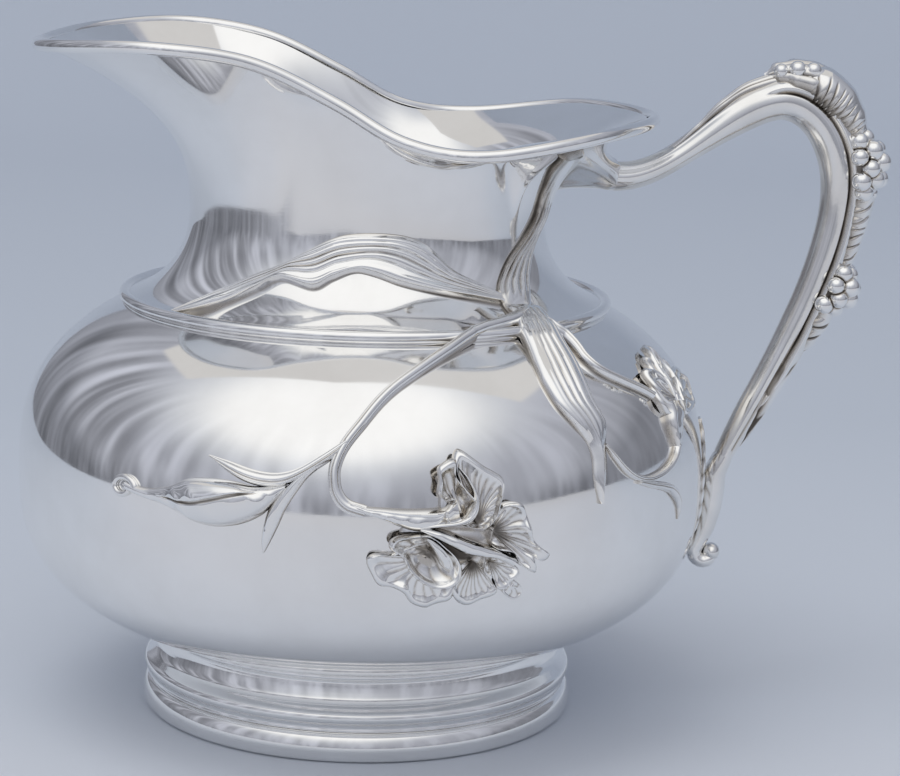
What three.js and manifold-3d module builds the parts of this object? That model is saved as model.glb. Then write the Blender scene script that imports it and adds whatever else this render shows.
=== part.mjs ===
// A silver water pitcher: a squat round bowl on a spun foot, a neck with a broad pouring lip,
// a hollow cast handle, and a spray of iris flowers and leaves soldered on each side.
// Millimetres, +Z up. The lip points along -X and the handle along +X.
// With the handle in the hand and the lip ahead, left is at -Y and right at +Y.
import * as THREE from 'three';
import { mergeVertices } from 'three/addons/utils/BufferGeometryUtils.js';
import Module from 'manifold-3d';

const wasm = await Module();
wasm.setup();

// Sheet metal, and the solder line between two soldered pieces
const wall = 1.1;
const solderGap = 0.35;

// Bowl: the widest level, the squareness of its lower half, and the shoulder up to the collar
const bellyRadius = 95.3;
const bellyHeight = 67;
const bowlSquareAcross = 2.2;
const bowlSquareDown = 2.8;
const shoulderTurn = 2.65;
const collarRadius = 65.6;
const collarHeight = 115.4;
const collarWireRadius = 1.7;

// Foot
const footSeatRadius = 57;
const footHeight = 23.5;
const footFlare = 3.6;
const footBaseHeight = 8;

// Neck: the narrow throat above the collar, then the flare up to the rim
const throatRadius = 49;
const neckRise = 23.6;
const neckFootTurn = 78;
const neckFlare = 2.7;
const neckSeamRise = 5;

// Rim wire: distances from the foot's axis, half widths, and rises above the throat
const rimWireRadius = 1.7;
const lipReach = 90.4;
const lipTipRise = 44.6;
const lipShoulderReach = 56;
const lipHalfWidth = 55.5;
const lipRise = 47.9;
const waistReach = 9;
const waistHalfWidth = 53;
const waistRise = 35;
const dipReach = 30;
const dipHalfWidth = 65.5;
const dipRise = 23.2;
const backReach = 78;
const backRise = 28.4;

// Handle: its middle line, its section, and its two ends
const rootDrop = 13.4;
const rootReach = 5.8;
const crestReach = 113;
const crestRise = 6.1;
const handleReach = 130.3;
const gripDrop = 23.5;
const handleWall = 1.4;
const rootThickness = 4.6;
const dipThickness = 3.6;
const crestThickness = 5.5;
const gripThickness = 4.7;
const tailThickness = 2.5;
const rootWidth = 6.4;
const crestWidth = 6.2;
const gripWidth = 5.4;
const tailWidth = 4.2;
const rootSpread = 8.6;
const plateThickness = 0.9;
const plateHalfWidth = 7.6;
const plateAbove = 17;
const plateBelow = 23;
const scrollRadius = 3.7;
const berryRadius = 2.5;

// Spray: relief of the applied castings
const strapHalfWidth = 3.4;
const stemHalfWidth = 1.6;
const longLeafHalfWidth = 6.4;
const hangingLeafHalfWidth = 6.2;
const budHalfWidth = 5.6;
const petalHalfWidth = 8.2;
const smallLeafHalfWidth = 1.6;
const leafRelief = 1.9;
const stemRelief = 2.6;
const budRelief = 5.6;
const petalRuffle = 1.3;
const flowerRelief = 6.2;

// Facets
const around = 40;
const aroundNeck = 48;
const wireSides = 6;

const degrees = Math.PI / 180;
// Degrees from the handle to the edge of the spout, on a facet of the neck
const spoutTurn = Math.round(0.229 * aroundNeck) * 360 / aroundNeck;
const throatHeight = collarHeight + neckRise;
const backHeight = throatHeight + backRise;
const shoulderRise = (collarHeight - bellyHeight)
  / Math.pow(1 - Math.pow(collarRadius / bellyRadius, 2), 1 / shoulderTurn);
const bowlDepth = (bellyHeight - footHeight)
  / Math.pow(1 - Math.pow(footSeatRadius / bellyRadius, bowlSquareAcross), 1 / bowlSquareDown);

const mix = (a, b, f) => a + (b - a) * f;
const ease = (f) => {
  const c = Math.min(1, Math.max(0, f));
  return c * c * (3 - 2 * c);
};
// A smooth run through a few evenly spaced values
const run = (values, t) => {
  const place = Math.min(1, Math.max(0, t)) * (values.length - 1);
  const i = Math.min(values.length - 2, Math.floor(place));
  return mix(values[i], values[i + 1], ease(place - i));
};

// Shared corners merged, flat slivers dropped, faces turned outward
function clean(geometry) {
  geometry.deleteAttribute('normal');
  geometry.deleteAttribute('uv');
  const merged = mergeVertices(geometry, 1e-4);
  const p = merged.attributes.position;
  const kept = [];
  const a = new THREE.Vector3();
  const b = new THREE.Vector3();
  const c = new THREE.Vector3();
  let volume = 0;
  for (let i = 0; i < merged.index.count; i += 3) {
    const [i0, i1, i2] = [0, 1, 2].map((k) => merged.index.getX(i + k));
    if (i0 === i1 || i1 === i2 || i2 === i0) continue;
    kept.push([i0, i1, i2]);
    a.fromBufferAttribute(p, i0);
    b.fromBufferAttribute(p, i1);
    c.fromBufferAttribute(p, i2);
    volume += a.dot(b.cross(c));
  }
  const faces = volume < 0 ? kept.map(([i0, i1, i2]) => [i0, i2, i1]) : kept;
  merged.setIndex(faces.flat());
  merged.computeVertexNormals();
  return merged;
}

// A body through closed rings of points, either run round into a loop or capped at both ends
function loft(rings, looped = false) {
  const n = rings[0].length;
  const points = rings.flat();
  const index = [];
  const spans = looped ? rings.length : rings.length - 1;
  for (let i = 0; i < spans; i += 1) {
    const here = i * n;
    const next = ((i + 1) % rings.length) * n;
    for (let j = 0; j < n; j += 1) {
      const k = (j + 1) % n;
      index.push(here + j, next + j, next + k, here + j, next + k, here + k);
    }
  }
  if (!looped) {
    const last = (rings.length - 1) * n;
    for (let j = 0; j < n / 2 - 1; j += 1) {
      const m = n - 1 - j;
      index.push(j, j + 1, m - 1, j, m - 1, m);
      index.push(last + j, last + m - 1, last + j + 1, last + j, last + m, last + m - 1);
    }
  }
  const geometry = new THREE.BufferGeometry();
  const numbers = points.flatMap((v) => [v.x, v.y, v.z]);
  geometry.setAttribute('position', new THREE.Float32BufferAttribute(numbers, 3));
  geometry.setIndex(index);
  return clean(geometry);
}

// A turned body from a profile of [radius, height] points
function turned(profile, segments = around) {
  const geometry = new THREE.LatheGeometry(profile.map(([r, z]) => new THREE.Vector2(r, z)), segments);
  geometry.rotateX(Math.PI / 2);
  return clean(geometry);
}

function toSolid(geometry) {
  return new wasm.Manifold(new wasm.Mesh({
    numProp: 3,
    vertProperties: new Float32Array(geometry.attributes.position.array),
    triVerts: new Uint32Array(geometry.index.array),
  }));
}

// Bodies joined into one, without the small voids shut in between them
function joined(geometries) {
  const solid = geometries.map(toSolid).reduce((sum, next) => sum.add(next));
  const shells = solid.decompose();
  const mesh = shells.reduce((most, next) => (next.volume() > most.volume() ? next : most)).getMesh();
  const geometry = new THREE.BufferGeometry();
  geometry.setAttribute('position', new THREE.Float32BufferAttribute(mesh.vertProperties, 3));
  geometry.setIndex(Array.from(mesh.triVerts));
  return clean(geometry);
}

// Rim line, from the lip's tip along the right side to the back and home along the left
const rimSide = [
  [-mix(lipShoulderReach, lipReach, 0.71), lipHalfWidth * 0.65, mix(lipTipRise, lipRise, 0.55)],
  [-lipShoulderReach, lipHalfWidth, lipRise],
  [-mix(waistReach, lipShoulderReach, 0.47), mix(waistHalfWidth, lipHalfWidth, 0.1),
    mix(waistRise, lipRise, 0.76)],
  [-waistReach, waistHalfWidth, waistRise],
  [mix(-waistReach, dipReach, 0.46), mix(waistHalfWidth, dipHalfWidth, 0.38), mix(dipRise, waistRise, 0.2)],
  [dipReach, dipHalfWidth, dipRise],
  [mix(dipReach, backReach, 0.65), dipHalfWidth * 0.72, mix(dipRise, backRise, 0.87)],
];
const rimLine = new THREE.CatmullRomCurve3([
  new THREE.Vector3(-lipReach, 0, throatHeight + lipTipRise),
  ...rimSide.map(([x, y, rise]) => new THREE.Vector3(x, y, throatHeight + rise)),
  new THREE.Vector3(backReach, 0, throatHeight + backRise),
  ...[...rimSide].reverse().map(([x, y, rise]) => new THREE.Vector3(x, -y, throatHeight + rise)),
], true, 'catmullrom', 0.5);

// Radius and height of the rim at each whole degree from the handle, found along the rim line
const rimByDegree = [];
for (let d = 0; d <= 180; d += 1) {
  let low = 0;
  let high = 0.5;
  for (let i = 0; i < 40; i += 1) {
    const middle = (low + high) / 2;
    const point = rimLine.getPoint(middle);
    if (Math.atan2(point.y, point.x) > d * degrees) low = middle;
    else high = middle;
  }
  const point = rimLine.getPoint((low + high) / 2);
  rimByDegree.push([Math.hypot(point.x, point.y), point.z]);
}
function rimAt(azimuth) {
  const turn = Math.abs(Math.atan2(Math.sin(azimuth), Math.cos(azimuth))) / degrees;
  const i = Math.min(179, Math.floor(turn));
  const [here, next] = [rimByDegree[i], rimByDegree[i + 1]];
  return { radius: mix(here[0], next[0], turn - i), height: mix(here[1], next[1], turn - i) };
}

function bowlRadius(z) {
  if (z < bellyHeight) {
    const drop = Math.min(1, (bellyHeight - z) / bowlDepth);
    return bellyRadius * Math.pow(1 - Math.pow(drop, bowlSquareDown), 1 / bowlSquareAcross);
  }
  return bellyRadius * Math.sqrt(Math.max(0, 1 - Math.pow((z - bellyHeight) / shoulderRise, shoulderTurn)));
}

function neckRadius(azimuth, z) {
  const end = neckFootTurn * degrees;
  if (z < throatHeight) {
    const turn = Math.asin(Math.min(1, (throatHeight - z) / neckRise) * Math.sin(end));
    return throatRadius + (collarRadius - throatRadius) * (1 - Math.cos(turn)) / (1 - Math.cos(end));
  }
  const rim = rimAt(azimuth);
  const rise = (z - throatHeight) / (rim.height - throatHeight);
  return throatRadius + (rim.radius - throatRadius) * Math.pow(rise, neckFlare);
}

const skinRadius = (azimuth, z) => (z <= collarHeight ? bowlRadius(z) : neckRadius(azimuth, z));

function skinSlope(azimuth, z) {
  const step = 0.5;
  return (skinRadius(azimuth, z + step) - skinRadius(azimuth, z - step)) / (2 * step);
}

// A point on the outside of the bowl or neck, lifted square off it
function skin(azimuth, z, lift) {
  const slope = skinSlope(azimuth, z);
  const length = Math.hypot(1, slope);
  const r = skinRadius(azimuth, z) + lift / length;
  return new THREE.Vector3(r * Math.cos(azimuth), r * Math.sin(azimuth), z - lift * slope / length);
}

// What a casting has to rise where it crosses the collar wire
function overCollar(z) {
  const reach = collarWireRadius * (z < collarHeight ? 1.6 : 1);
  return (2 * collarWireRadius + 2 * solderGap) * ease(1.15 * (1 - Math.abs(z - collarHeight) / reach));
}

// Level of a rise from the collar, in hundredths of the shoulder below it and of the neck above it
const levelAt = (rise) => collarHeight + rise / 100 * (rise < 0 ? collarHeight - bellyHeight : neckRise);

// A casting laid on the body along a line of [degrees from the handle, rise from the collar] points.
// halfWidth(t) is in millimetres, top(t, across) and under(t, across) are its faces above the skin.
function laid(side, line, stations, columns, halfWidth, top, under = () => 0) {
  const marks = line.map(([turn, rise]) => new THREE.Vector3(turn, rise, 0));
  const curve = new THREE.CatmullRomCurve3(marks, false, 'catmullrom');
  const place = (t, across, face) => {
    const here = curve.getPoint(t);
    const before = curve.getPoint(Math.max(0, t - 0.01));
    const after = curve.getPoint(Math.min(1, t + 0.01));
    const azimuth = side * here.x * degrees;
    const level = levelAt(here.y);
    const perDegree = skinRadius(azimuth, level) * degrees;
    const perRise = Math.hypot(1, skinSlope(azimuth, level));
    const climb = (levelAt(after.y) - levelAt(before.y)) * perRise;
    const along = new THREE.Vector2((after.x - before.x) * perDegree, climb).normalize();
    const offset = across * halfWidth(t);
    const turn = here.x - along.y * offset / perDegree;
    const z = level + along.x * offset / perRise;
    const lift = solderGap + overCollar(z) + (face === 'top' ? top(t, across) : under(t, across));
    return skin(side * turn * degrees, z, lift);
  };
  const rings = [];
  for (let i = 0; i <= stations; i += 1) {
    const t = i / stations;
    const ring = [];
    for (let j = 0; j < columns; j += 1) ring.push(place(t, mix(-1, 1, j / (columns - 1)), 'top'));
    for (let j = columns - 1; j >= 0; j -= 1) ring.push(place(t, mix(-1, 1, j / (columns - 1)), 'under'));
    rings.push(ring);
  }
  return loft(rings);
}

// Relief across a stem or leaf: full in the middle, thin at the edges
const domed = (height, edge = 0.5) => (t, across) => mix(height, edge, across * across);
// A leaf's cross section with its two halves raised beside the midrib
const ribbed = (height, edge = 0.6) => (t, across) => (
  mix(height, edge, Math.pow(across, 4)) * mix(1, 0.72, Math.max(0, 1 - Math.abs(across) * 2.4))
);

// Bowl
function bowl() {
  const outer = [];
  const normals = [];
  const lower = 8;
  for (let i = 0; i <= lower; i += 1) {
    const u = (i / lower) * Math.PI / 2;
    const r = bellyRadius * Math.pow(Math.sin(u), 2 / bowlSquareAcross);
    outer.push([r, bellyHeight - bowlDepth * Math.pow(Math.cos(u), 2 / bowlSquareDown)]);
  }
  const upper = 7;
  const edge = collarHeight - solderGap / 2;
  const last = Math.acos(bowlRadius(edge) / bellyRadius);
  for (let i = 1; i <= upper; i += 1) {
    const u = last * i / upper;
    const z = bellyHeight + shoulderRise * Math.pow(Math.sin(u), 2 / shoulderTurn);
    outer.push([bellyRadius * Math.cos(u), z]);
  }
  outer.forEach(([r, z], i) => {
    const [r0, z0] = outer[Math.max(0, i - 1)];
    const [r1, z1] = outer[Math.min(outer.length - 1, i + 1)];
    const length = Math.hypot(r1 - r0, z1 - z0);
    normals.push(i === 0 ? [0, -1] : [(z1 - z0) / length, (r0 - r1) / length]);
  });
  const inner = outer.map(([r, z], i) => [r - wall * normals[i][0], z - wall * normals[i][1]]);
  const mouth = outer.length - 1;
  inner[0] = [0, outer[0][1] + wall];
  inner[mouth] = [outer[mouth][0] - wall / normals[mouth][0], outer[mouth][1]];
  const inside = inner.filter((point, i) => i % 2 === 0 || i === mouth).reverse();
  return turned([...outer, ...inside]);
}

// Level just under the rim wire
function neckTop(azimuth) {
  const rim = rimAt(azimuth);
  const flareRadius = (rim.radius - throatRadius) * neckFlare;
  const share = (1.2 * rimWireRadius + solderGap) / Math.hypot(flareRadius, rim.height - throatHeight);
  return mix(throatHeight, rim.height, 1 - share);
}

// Sheet at one azimuth, up the outside through some levels and down the inside
function neckSection(azimuth, levels) {
  const outer = levels.map((z) => new THREE.Vector2(neckRadius(azimuth, z), z));
  const inner = outer.map((point, k) => {
    const before = outer[Math.max(0, k - 1)];
    const after = outer[Math.min(outer.length - 1, k + 1)];
    const along = after.clone().sub(before).normalize();
    if (k === 0) return new THREE.Vector2(point.x - wall / Math.max(0.28, along.y), point.y);
    return new THREE.Vector2(point.x - wall * along.y, point.y + wall * along.x);
  });
  return [...outer, ...inner.reverse()].map((v) => (
    new THREE.Vector3(v.x * Math.cos(azimuth), v.x * Math.sin(azimuth), v.y)
  ));
}

// Neck ring, from the collar to a seam a little above the throat
function neckThroat() {
  const low = collarHeight + solderGap / 2;
  const high = throatHeight + neckSeamRise - solderGap / 2;
  const end = neckFootTurn * degrees;
  const levels = [6, 5, 4, 3, 2, 1, 0].map((k) => (
    Math.max(low, throatHeight - neckRise * Math.sin(end * k / 6) / Math.sin(end))
  ));
  const rings = [];
  for (let i = 0; i < aroundNeck; i += 1) {
    rings.push(neckSection(i / aroundNeck * 2 * Math.PI, [...levels, high]));
  }
  return loft(rings, true);
}

// Stations of a piece that runs round from one azimuth to another, half a solder line short at each end
function stationsBetween(from, to, radius) {
  const step = 360 / aroundNeck;
  const short = solderGap / 2 / radius / degrees;
  const count = Math.round((to - from) / step);
  const turns = Array.from({ length: count + 1 }, (unused, i) => mix(from, to, i / count));
  turns[0] += short;
  turns[count] -= short;
  return turns.map((turn) => turn * degrees);
}

// Flared sheet above the seam, between two azimuths
function neckFlareSheet(from, to) {
  const low = throatHeight + neckSeamRise + solderGap / 2;
  return loft(stationsBetween(from, to, throatRadius).map((azimuth) => {
    const levels = [0, 1, 2, 3, 4, 5].map((k) => mix(low, neckTop(azimuth), Math.pow(k / 5, 0.85)));
    return neckSection(azimuth, levels);
  }));
}

function collarWire() {
  const slope = skinSlope(0, collarHeight);
  const length = Math.hypot(1, slope);
  const lift = collarWireRadius + solderGap;
  const wire = new THREE.TorusGeometry(collarRadius + lift / length, collarWireRadius, wireSides, around + 4);
  wire.translate(0, 0, collarHeight - lift * slope / length);
  return clean(wire);
}

// Half of the rim wire, on one side
function rimWire(side) {
  const at = (azimuth) => {
    const { radius, height } = rimAt(azimuth);
    return new THREE.Vector3(radius * Math.cos(azimuth), radius * Math.sin(azimuth), height);
  };
  return loft(stationsBetween(0, 180, backReach).map((turn) => {
    const azimuth = side * turn;
    const point = at(azimuth);
    const step = 2 * Math.PI / aroundNeck;
    const along = at(azimuth + step).sub(at(azimuth - step)).normalize();
    const across = new THREE.Vector3(along.y, -along.x, 0).normalize();
    const up = new THREE.Vector3().crossVectors(across, along);
    const ring = [];
    for (let j = 0; j < wireSides; j += 1) {
      const roll = j / wireSides * 2 * Math.PI;
      ring.push(point.clone()
        .addScaledVector(across, rimWireRadius * Math.cos(roll))
        .addScaledVector(up, rimWireRadius * Math.sin(roll)));
    }
    return ring;
  }));
}

// Foot ring: a turned-over top edge, a wide cove, a step bead and a narrow cove
function footRing() {
  const low = footBaseHeight + solderGap;
  const high = footHeight - solderGap - 0.3;
  const at = (out, f) => [footSeatRadius + out, mix(low, high, f)];
  return turned([
    at(-1.8, 0.95), at(0.3, 1), at(0.8, 0.9), at(-1, 0.7), at(-1.2, 0.5), at(-0.7, 0.34),
    at(1.1, 0.27), at(1.1, 0.14), at(0.5, 0.07), at(1.4, 0),
    at(-0.2, 0), at(-2.4, 0.45), at(-1.8, 0.95),
  ]);
}

function footBaseWire() {
  const out = footSeatRadius + footFlare;
  const h = footBaseHeight;
  return turned([
    [out - 4.4, 0], [out - 1.2, 0], [out - 0.1, h * 0.2], [out + 0.1, h * 0.5], [out - 0.5, h * 0.85],
    [out - 2, h], [out - 4, h], [out - 4.8, h * 0.5], [out - 4.4, 0],
  ]);
}

// Handle line in the plane through the lip: root, crest, grip and tail
const rootHeight = backHeight - rootDrop;
const tailHeight = bellyHeight;
const tailStand = plateThickness + 2 * solderGap + tailThickness;
const root = new THREE.Vector3(neckRadius(0, rootHeight) + rootReach, 0, rootHeight);
const crest = new THREE.Vector3(crestReach, 0, backHeight + crestRise);
const grip = new THREE.Vector3(handleReach, 0, crest.z - gripDrop);
const tail = new THREE.Vector3(bowlRadius(tailHeight) + tailStand, 0, tailHeight);
const bend = (a, dx, dz) => new THREE.Vector3(a.x + dx, 0, a.z + dz);
const handleLine = new THREE.CurvePath();
handleLine.add(new THREE.CubicBezierCurve3(
  root,
  bend(root, 0.38 * (crest.x - root.x), -11),
  bend(crest, -0.34 * (crest.x - root.x), -1.5),
  crest,
));
handleLine.add(new THREE.CubicBezierCurve3(
  crest,
  bend(crest, 0.55 * (grip.x - crest.x), 0),
  bend(grip, 0, 0.55 * gripDrop),
  grip,
));
handleLine.add(new THREE.CubicBezierCurve3(
  grip,
  bend(grip, 0.2, -0.34 * (grip.z - tail.z)),
  bend(tail, 0.19 * (grip.x - tail.x), 0.205 * (grip.z - tail.z)),
  tail,
));

// Point, outward direction and half section of the handle at a fraction of its length
function handleAt(t) {
  const point = handleLine.getPointAt(t);
  const along = handleLine.getTangentAt(t);
  const out = new THREE.Vector3(-along.z, 0, along.x);
  const thick = run([rootThickness, dipThickness, crestThickness, crestThickness, gripThickness,
    mix(gripThickness, tailThickness, 0.25), mix(gripThickness, tailThickness, 0.5), tailThickness], t);
  const wide = run([rootWidth, mix(rootWidth, crestWidth, 0.5), crestWidth, crestWidth, gripWidth,
    mix(gripWidth, tailWidth, 0.4), mix(gripWidth, tailWidth, 0.7), tailWidth], t);
  return { point, along, out, thick, wide };
}

// A point on the handle, turned from its outer side, lifted off it
function handleSkin(t, turn, lift) {
  const { point, out, thick, wide } = handleAt(t);
  const place = point.clone().addScaledVector(out, (thick + lift) * Math.cos(turn));
  place.y += (wide + lift) * Math.sin(turn);
  return place;
}

// Half of the hollow handle, an open trough along the line
function handleHalf(side) {
  const rings = [];
  const stations = 26;
  const sides = 5;
  const split = solderGap / 2;
  for (let i = 0; i <= stations; i += 1) {
    const { point, out, thick, wide } = handleAt(i / stations);
    const ring = [];
    const put = (turn, a, b) => {
      const place = point.clone().addScaledVector(out, a * Math.cos(turn));
      place.y = side * (split + (b - split) * Math.sin(turn));
      ring.push(place);
    };
    for (let j = 0; j <= sides; j += 1) put(Math.PI * j / sides, thick, wide);
    for (let j = sides; j >= 0; j -= 1) put(Math.PI * j / sides, thick - handleWall, wide - handleWall);
    rings.push(ring);
  }
  return loft(rings);
}

// Root casting, from the handle's end to a spread foot on the neck
function handleRoot() {
  const { point, along, out, thick, wide } = handleAt(0);
  const sides = 14;
  const rings = [];
  for (let k = 0; k <= 4; k += 1) {
    const f = k / 4;
    const ring = [];
    for (let j = 0; j < sides; j += 1) {
      const turn = (j + 0.5) / sides * 2 * Math.PI;
      const start = point.clone()
        .addScaledVector(along, -solderGap)
        .addScaledVector(out, thick * Math.cos(turn));
      start.y += wide * Math.sin(turn);
      const level = root.z - 1 + rootSpread * 0.86 * Math.cos(turn);
      const end = skin(rootSpread * Math.sin(turn) / neckRadius(0, root.z), level, solderGap);
      const spread = f * f;
      const y = mix(start.y, end.y, spread);
      ring.push(new THREE.Vector3(mix(start.x, end.x, f), y, mix(start.z, end.z, spread)));
    }
    rings.push(ring);
  }
  for (const inset of [0.5, 0.08]) {
    const ring = [];
    for (let j = 0; j < sides; j += 1) {
      const turn = (j + 0.5) / sides * 2 * Math.PI;
      const z = root.z - 1 + inset * rootSpread * 0.86 * Math.cos(turn);
      ring.push(skin(inset * rootSpread * Math.sin(turn) / neckRadius(0, root.z), z, solderGap));
    }
    rings.push(ring);
  }
  return loft(rings);
}

// Tail tongue: down the leaf plate, then a small scroll turned outward
function handleScroll() {
  const away = solderGap + plateThickness + solderGap;
  const drop = 19;
  const points = [];
  for (let i = 0; i <= 4; i += 1) {
    const z = tailHeight - solderGap - drop * i / 4;
    points.push(skin(0, z, away + mix(tailThickness, 1.6, i / 4)));
  }
  const end = handleAt(1);
  points[0] = end.point.clone().addScaledVector(end.along, solderGap);
  const last = points[points.length - 1];
  for (let i = 1; i <= 6; i += 1) {
    const turn = Math.PI + i / 6 * 1.45 * Math.PI;
    const radius = mix(scrollRadius, scrollRadius * 0.6, i / 6);
    points.push(new THREE.Vector3(
      last.x + scrollRadius + radius * Math.cos(turn),
      0,
      last.z - 1 + radius * Math.sin(turn),
    ));
  }
  const line = new THREE.CatmullRomCurve3(points, false, 'centripetal');
  const rings = [];
  const stations = 18;
  for (let i = 0; i <= stations; i += 1) {
    const t = i / stations;
    const point = line.getPointAt(t);
    const along = i === 0 ? end.along : line.getTangentAt(t);
    const out = new THREE.Vector3(-along.z, 0, along.x);
    const thick = run([tailThickness, 1.9, 1.5, 1.4, 1.1], t);
    const wide = run([tailWidth, 3.8, 3.2, 2.8, 2.4], t);
    const ring = [];
    for (let j = 0; j < 8; j += 1) {
      const turn = (j + 0.5) / 8 * 2 * Math.PI;
      const place = point.clone().addScaledVector(out, thick * Math.cos(turn));
      place.y += wide * Math.sin(turn);
      ring.push(place);
    }
    rings.push(ring);
  }
  return loft(rings);
}

// Leaf plate on the bowl under the tongue, pointed at both ends
function handlePlate() {
  const shoulder = collarHeight - bellyHeight;
  const top = 100 * (plateAbove - shoulder) / shoulder;
  const bottom = 100 * (-plateBelow - shoulder) / shoulder;
  return laid(1, [[0, top], [0, mix(top, bottom, 0.5)], [0, bottom]], 10, 4,
    (t) => plateHalfWidth * run([0.1, 0.7, 0.95, 1, 0.9, 0.6, 0.2], t), () => plateThickness);
}

// Ornaments down the handle's outer side, each a small gap after the one before
const handleLength = handleLine.getLength();
const berryPitch = 1.57 * berryRadius;
const berryRows = { upper: 4, lower: 3 };
function downHandle(start, lengths) {
  let mark = start;
  return lengths.map((length) => {
    const from = mark / handleLength;
    const to = (mark + length) / handleLength;
    mark += length + 4 * solderGap;
    return [from, to];
  });
}
const [capPlace, crestPlace, upperPlace, scrollPlace, lowerPlace, tailPlace, endPlace] = downHandle(
  0.16 * handleLength,
  [
    0.175 * handleLength,
    0.093 * handleLength,
    (berryRows.upper + 0.2) * berryPitch,
    0.072 * handleLength,
    (berryRows.lower + 0.2) * berryPitch,
    0.068 * handleLength,
    0.11 * handleLength,
  ],
);

// A leaf along the handle between two fractions of its length, spread over its outer side
function handleLeaf([from, to], spread, relief) {
  const stations = 6;
  const columns = 4;
  const rings = [];
  for (let i = 0; i <= stations; i += 1) {
    const f = i / stations;
    const t = mix(from, to, f);
    const ring = [];
    for (let j = 0; j < columns; j += 1) {
      const across = mix(-1, 1, j / (columns - 1));
      const rise = mix(run(relief, f), 0.7, across * across);
      ring.push(handleSkin(t, run(spread, f) * degrees * across, solderGap + 0.2 + rise));
    }
    for (let j = columns - 1; j >= 0; j -= 1) {
      const across = mix(-1, 1, j / (columns - 1));
      ring.push(handleSkin(t, run(spread, f) * degrees * across, solderGap + 0.2));
    }
    rings.push(ring);
  }
  return loft(rings);
}

// Berries heaped in pairs on a small pad on the handle's outer side, with a row along the top
function handleBerries([from, to], rows) {
  const seat = solderGap + 0.25;
  const pad = [1.4, 2, 2, 1.4].map((f) => f * berryRadius);
  const pieces = [handleLeaf([from, to], [34, 54, 54, 34], pad)];
  const berry = (place, y, lift) => {
    const { point, out, thick } = handleAt(from + place * berryPitch / handleLength);
    const ball = new THREE.SphereGeometry(berryRadius, 10, 8);
    const middle = point.clone().addScaledVector(out, thick + lift);
    ball.translate(middle.x, y, middle.z);
    pieces.push(clean(ball));
  };
  for (let i = 0; i < rows; i += 1) {
    berry(i + 0.6, -0.82 * berryRadius, seat + 1.16 * berryRadius);
    berry(i + 0.6, 0.82 * berryRadius, seat + 1.16 * berryRadius);
  }
  for (let i = 0; i < rows - 1; i += 1) berry(i + 1.1, 0, seat + 2.1 * berryRadius);
  return joined(pieces);
}

// Spray pieces. Every line is in degrees from the handle and hundredths of rise from the collar.
function strap(side) {
  return laid(side,
    [[12, 152.5], [15, 112.3], [25, 85.6], [36, 57.6], [42.5, 32.2], [45.4, 16.1], [46.4, 9.3], [46.9, 4.7]],
    18, 3, (t) => strapHalfWidth * run([0.75, 1, 1, 1, 1], t), domed(0.92 * stemRelief, 0.38 * stemRelief));
}

function longLeaf(side) {
  return laid(side,
    [[50.5, 33.9], [61, 50.8], [70, 65.7], [80, 78.4], [90, 83.9], [100, 78.8], [109, 67.8], [118, 56.8],
      [126, 44.9], [134, 28.8], [142, 9.3]], 16, 5,
    (t) => longLeafHalfWidth * run([0.35, 0.62, 1, 0.9, 1, 0.7, 0.62, 0.6, 0.12], t), ribbed(leafRelief));
}

function hangingLeaf(side) {
  return laid(side,
    [[47.05, 4], [47.6, -0.4], [48.3, -3.3], [49.2, -8.3], [50.2, -18.6], [49.9, -33.1], [49, -47.5],
      [48.5, -59.9], [48.5, -70.2], [49, -83.3]], 16, 5,
    (t) => hangingLeafHalfWidth * run([0.55, 0.6, 0.75, 1, 0.98, 0.7, 0.36, 0.1], t), ribbed(1.2 * leafRelief));
}

function flowerStem(side) {
  return laid(side,
    [[53, 3.8], [55.8, 2.1], [59, 0], [62.6, -1.7], [67, -4.8], [71, -8.3], [75, -12], [79, -16.5],
      [84, -24.8], [88, -35.5], [92, -47.3], [94, -55.8], [94.3, -65.3], [92.6, -73.8], [89.6, -79.8],
      [86.9, -82.2]],
    24, 3, () => stemHalfWidth, domed(stemRelief, 0.9));
}

function curlLeaf(side) {
  return laid(side, [[96.4, -54], [99, -59], [104, -61.6], [108.5, -59.9], [113, -56.2]], 8, 3,
    (t) => smallLeafHalfWidth * run([0.45, 0.94, 1.06, 0.8, 0.25], t),
    domed(0.85 * stemRelief, 0.3 * stemRelief));
}

function sickleLeaf(side) {
  return laid(side, [[96.5, -63.5], [98.6, -68.6], [101, -77.5], [103, -90.1], [105, -102.1]], 8, 3,
    (t) => smallLeafHalfWidth * run([0.5, 0.88, 0.94, 0.75, 0.25], t),
    domed(0.85 * stemRelief, 0.3 * stemRelief));
}

function bud(side) {
  return laid(side,
    [[102, -71.1], [104.6, -73.8], [109, -77.7], [114, -79.8], [119, -79.8], [124, -77.7], [129.5, -74.4]],
    10, 4,
    (t) => budHalfWidth * run([0.16, 0.5, 0.95, 1, 0.75, 0.4, 0.16], t),
    (t, across) => budRelief * mix(run([0.3, 0.7, 1, 1, 0.85, 0.6, 0.4], t), 0.14, across * across));
}

// Petals of the open flower: line, then half width and relief at heart and tip as shares of the named ones
const irisPetals = [
  { line: [[76.6, -88.8], [74.8, -68.2], [74.5, -49.6]], half: 1, heart: 0.9, tip: 0.45 },
  { line: [[78.1, -94], [83.2, -106.4], [87.1, -119.8]], half: 1.12, heart: 0.87, tip: 0.39 },
  { line: [[75.4, -99.2], [73.3, -113.6], [72.7, -127.1]], half: 0.8, heart: 0.81, tip: 0.29 },
  { line: [[71.8, -100.2], [68.6, -111.6], [67, -121.9]], half: 0.76, heart: 0.74, tip: 0.29 },
  { line: [[72.4, -88.8], [67.2, -88.8], [63.1, -96.5]], half: 1.05, heart: 0.84, tip: 0.42 },
];

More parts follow.
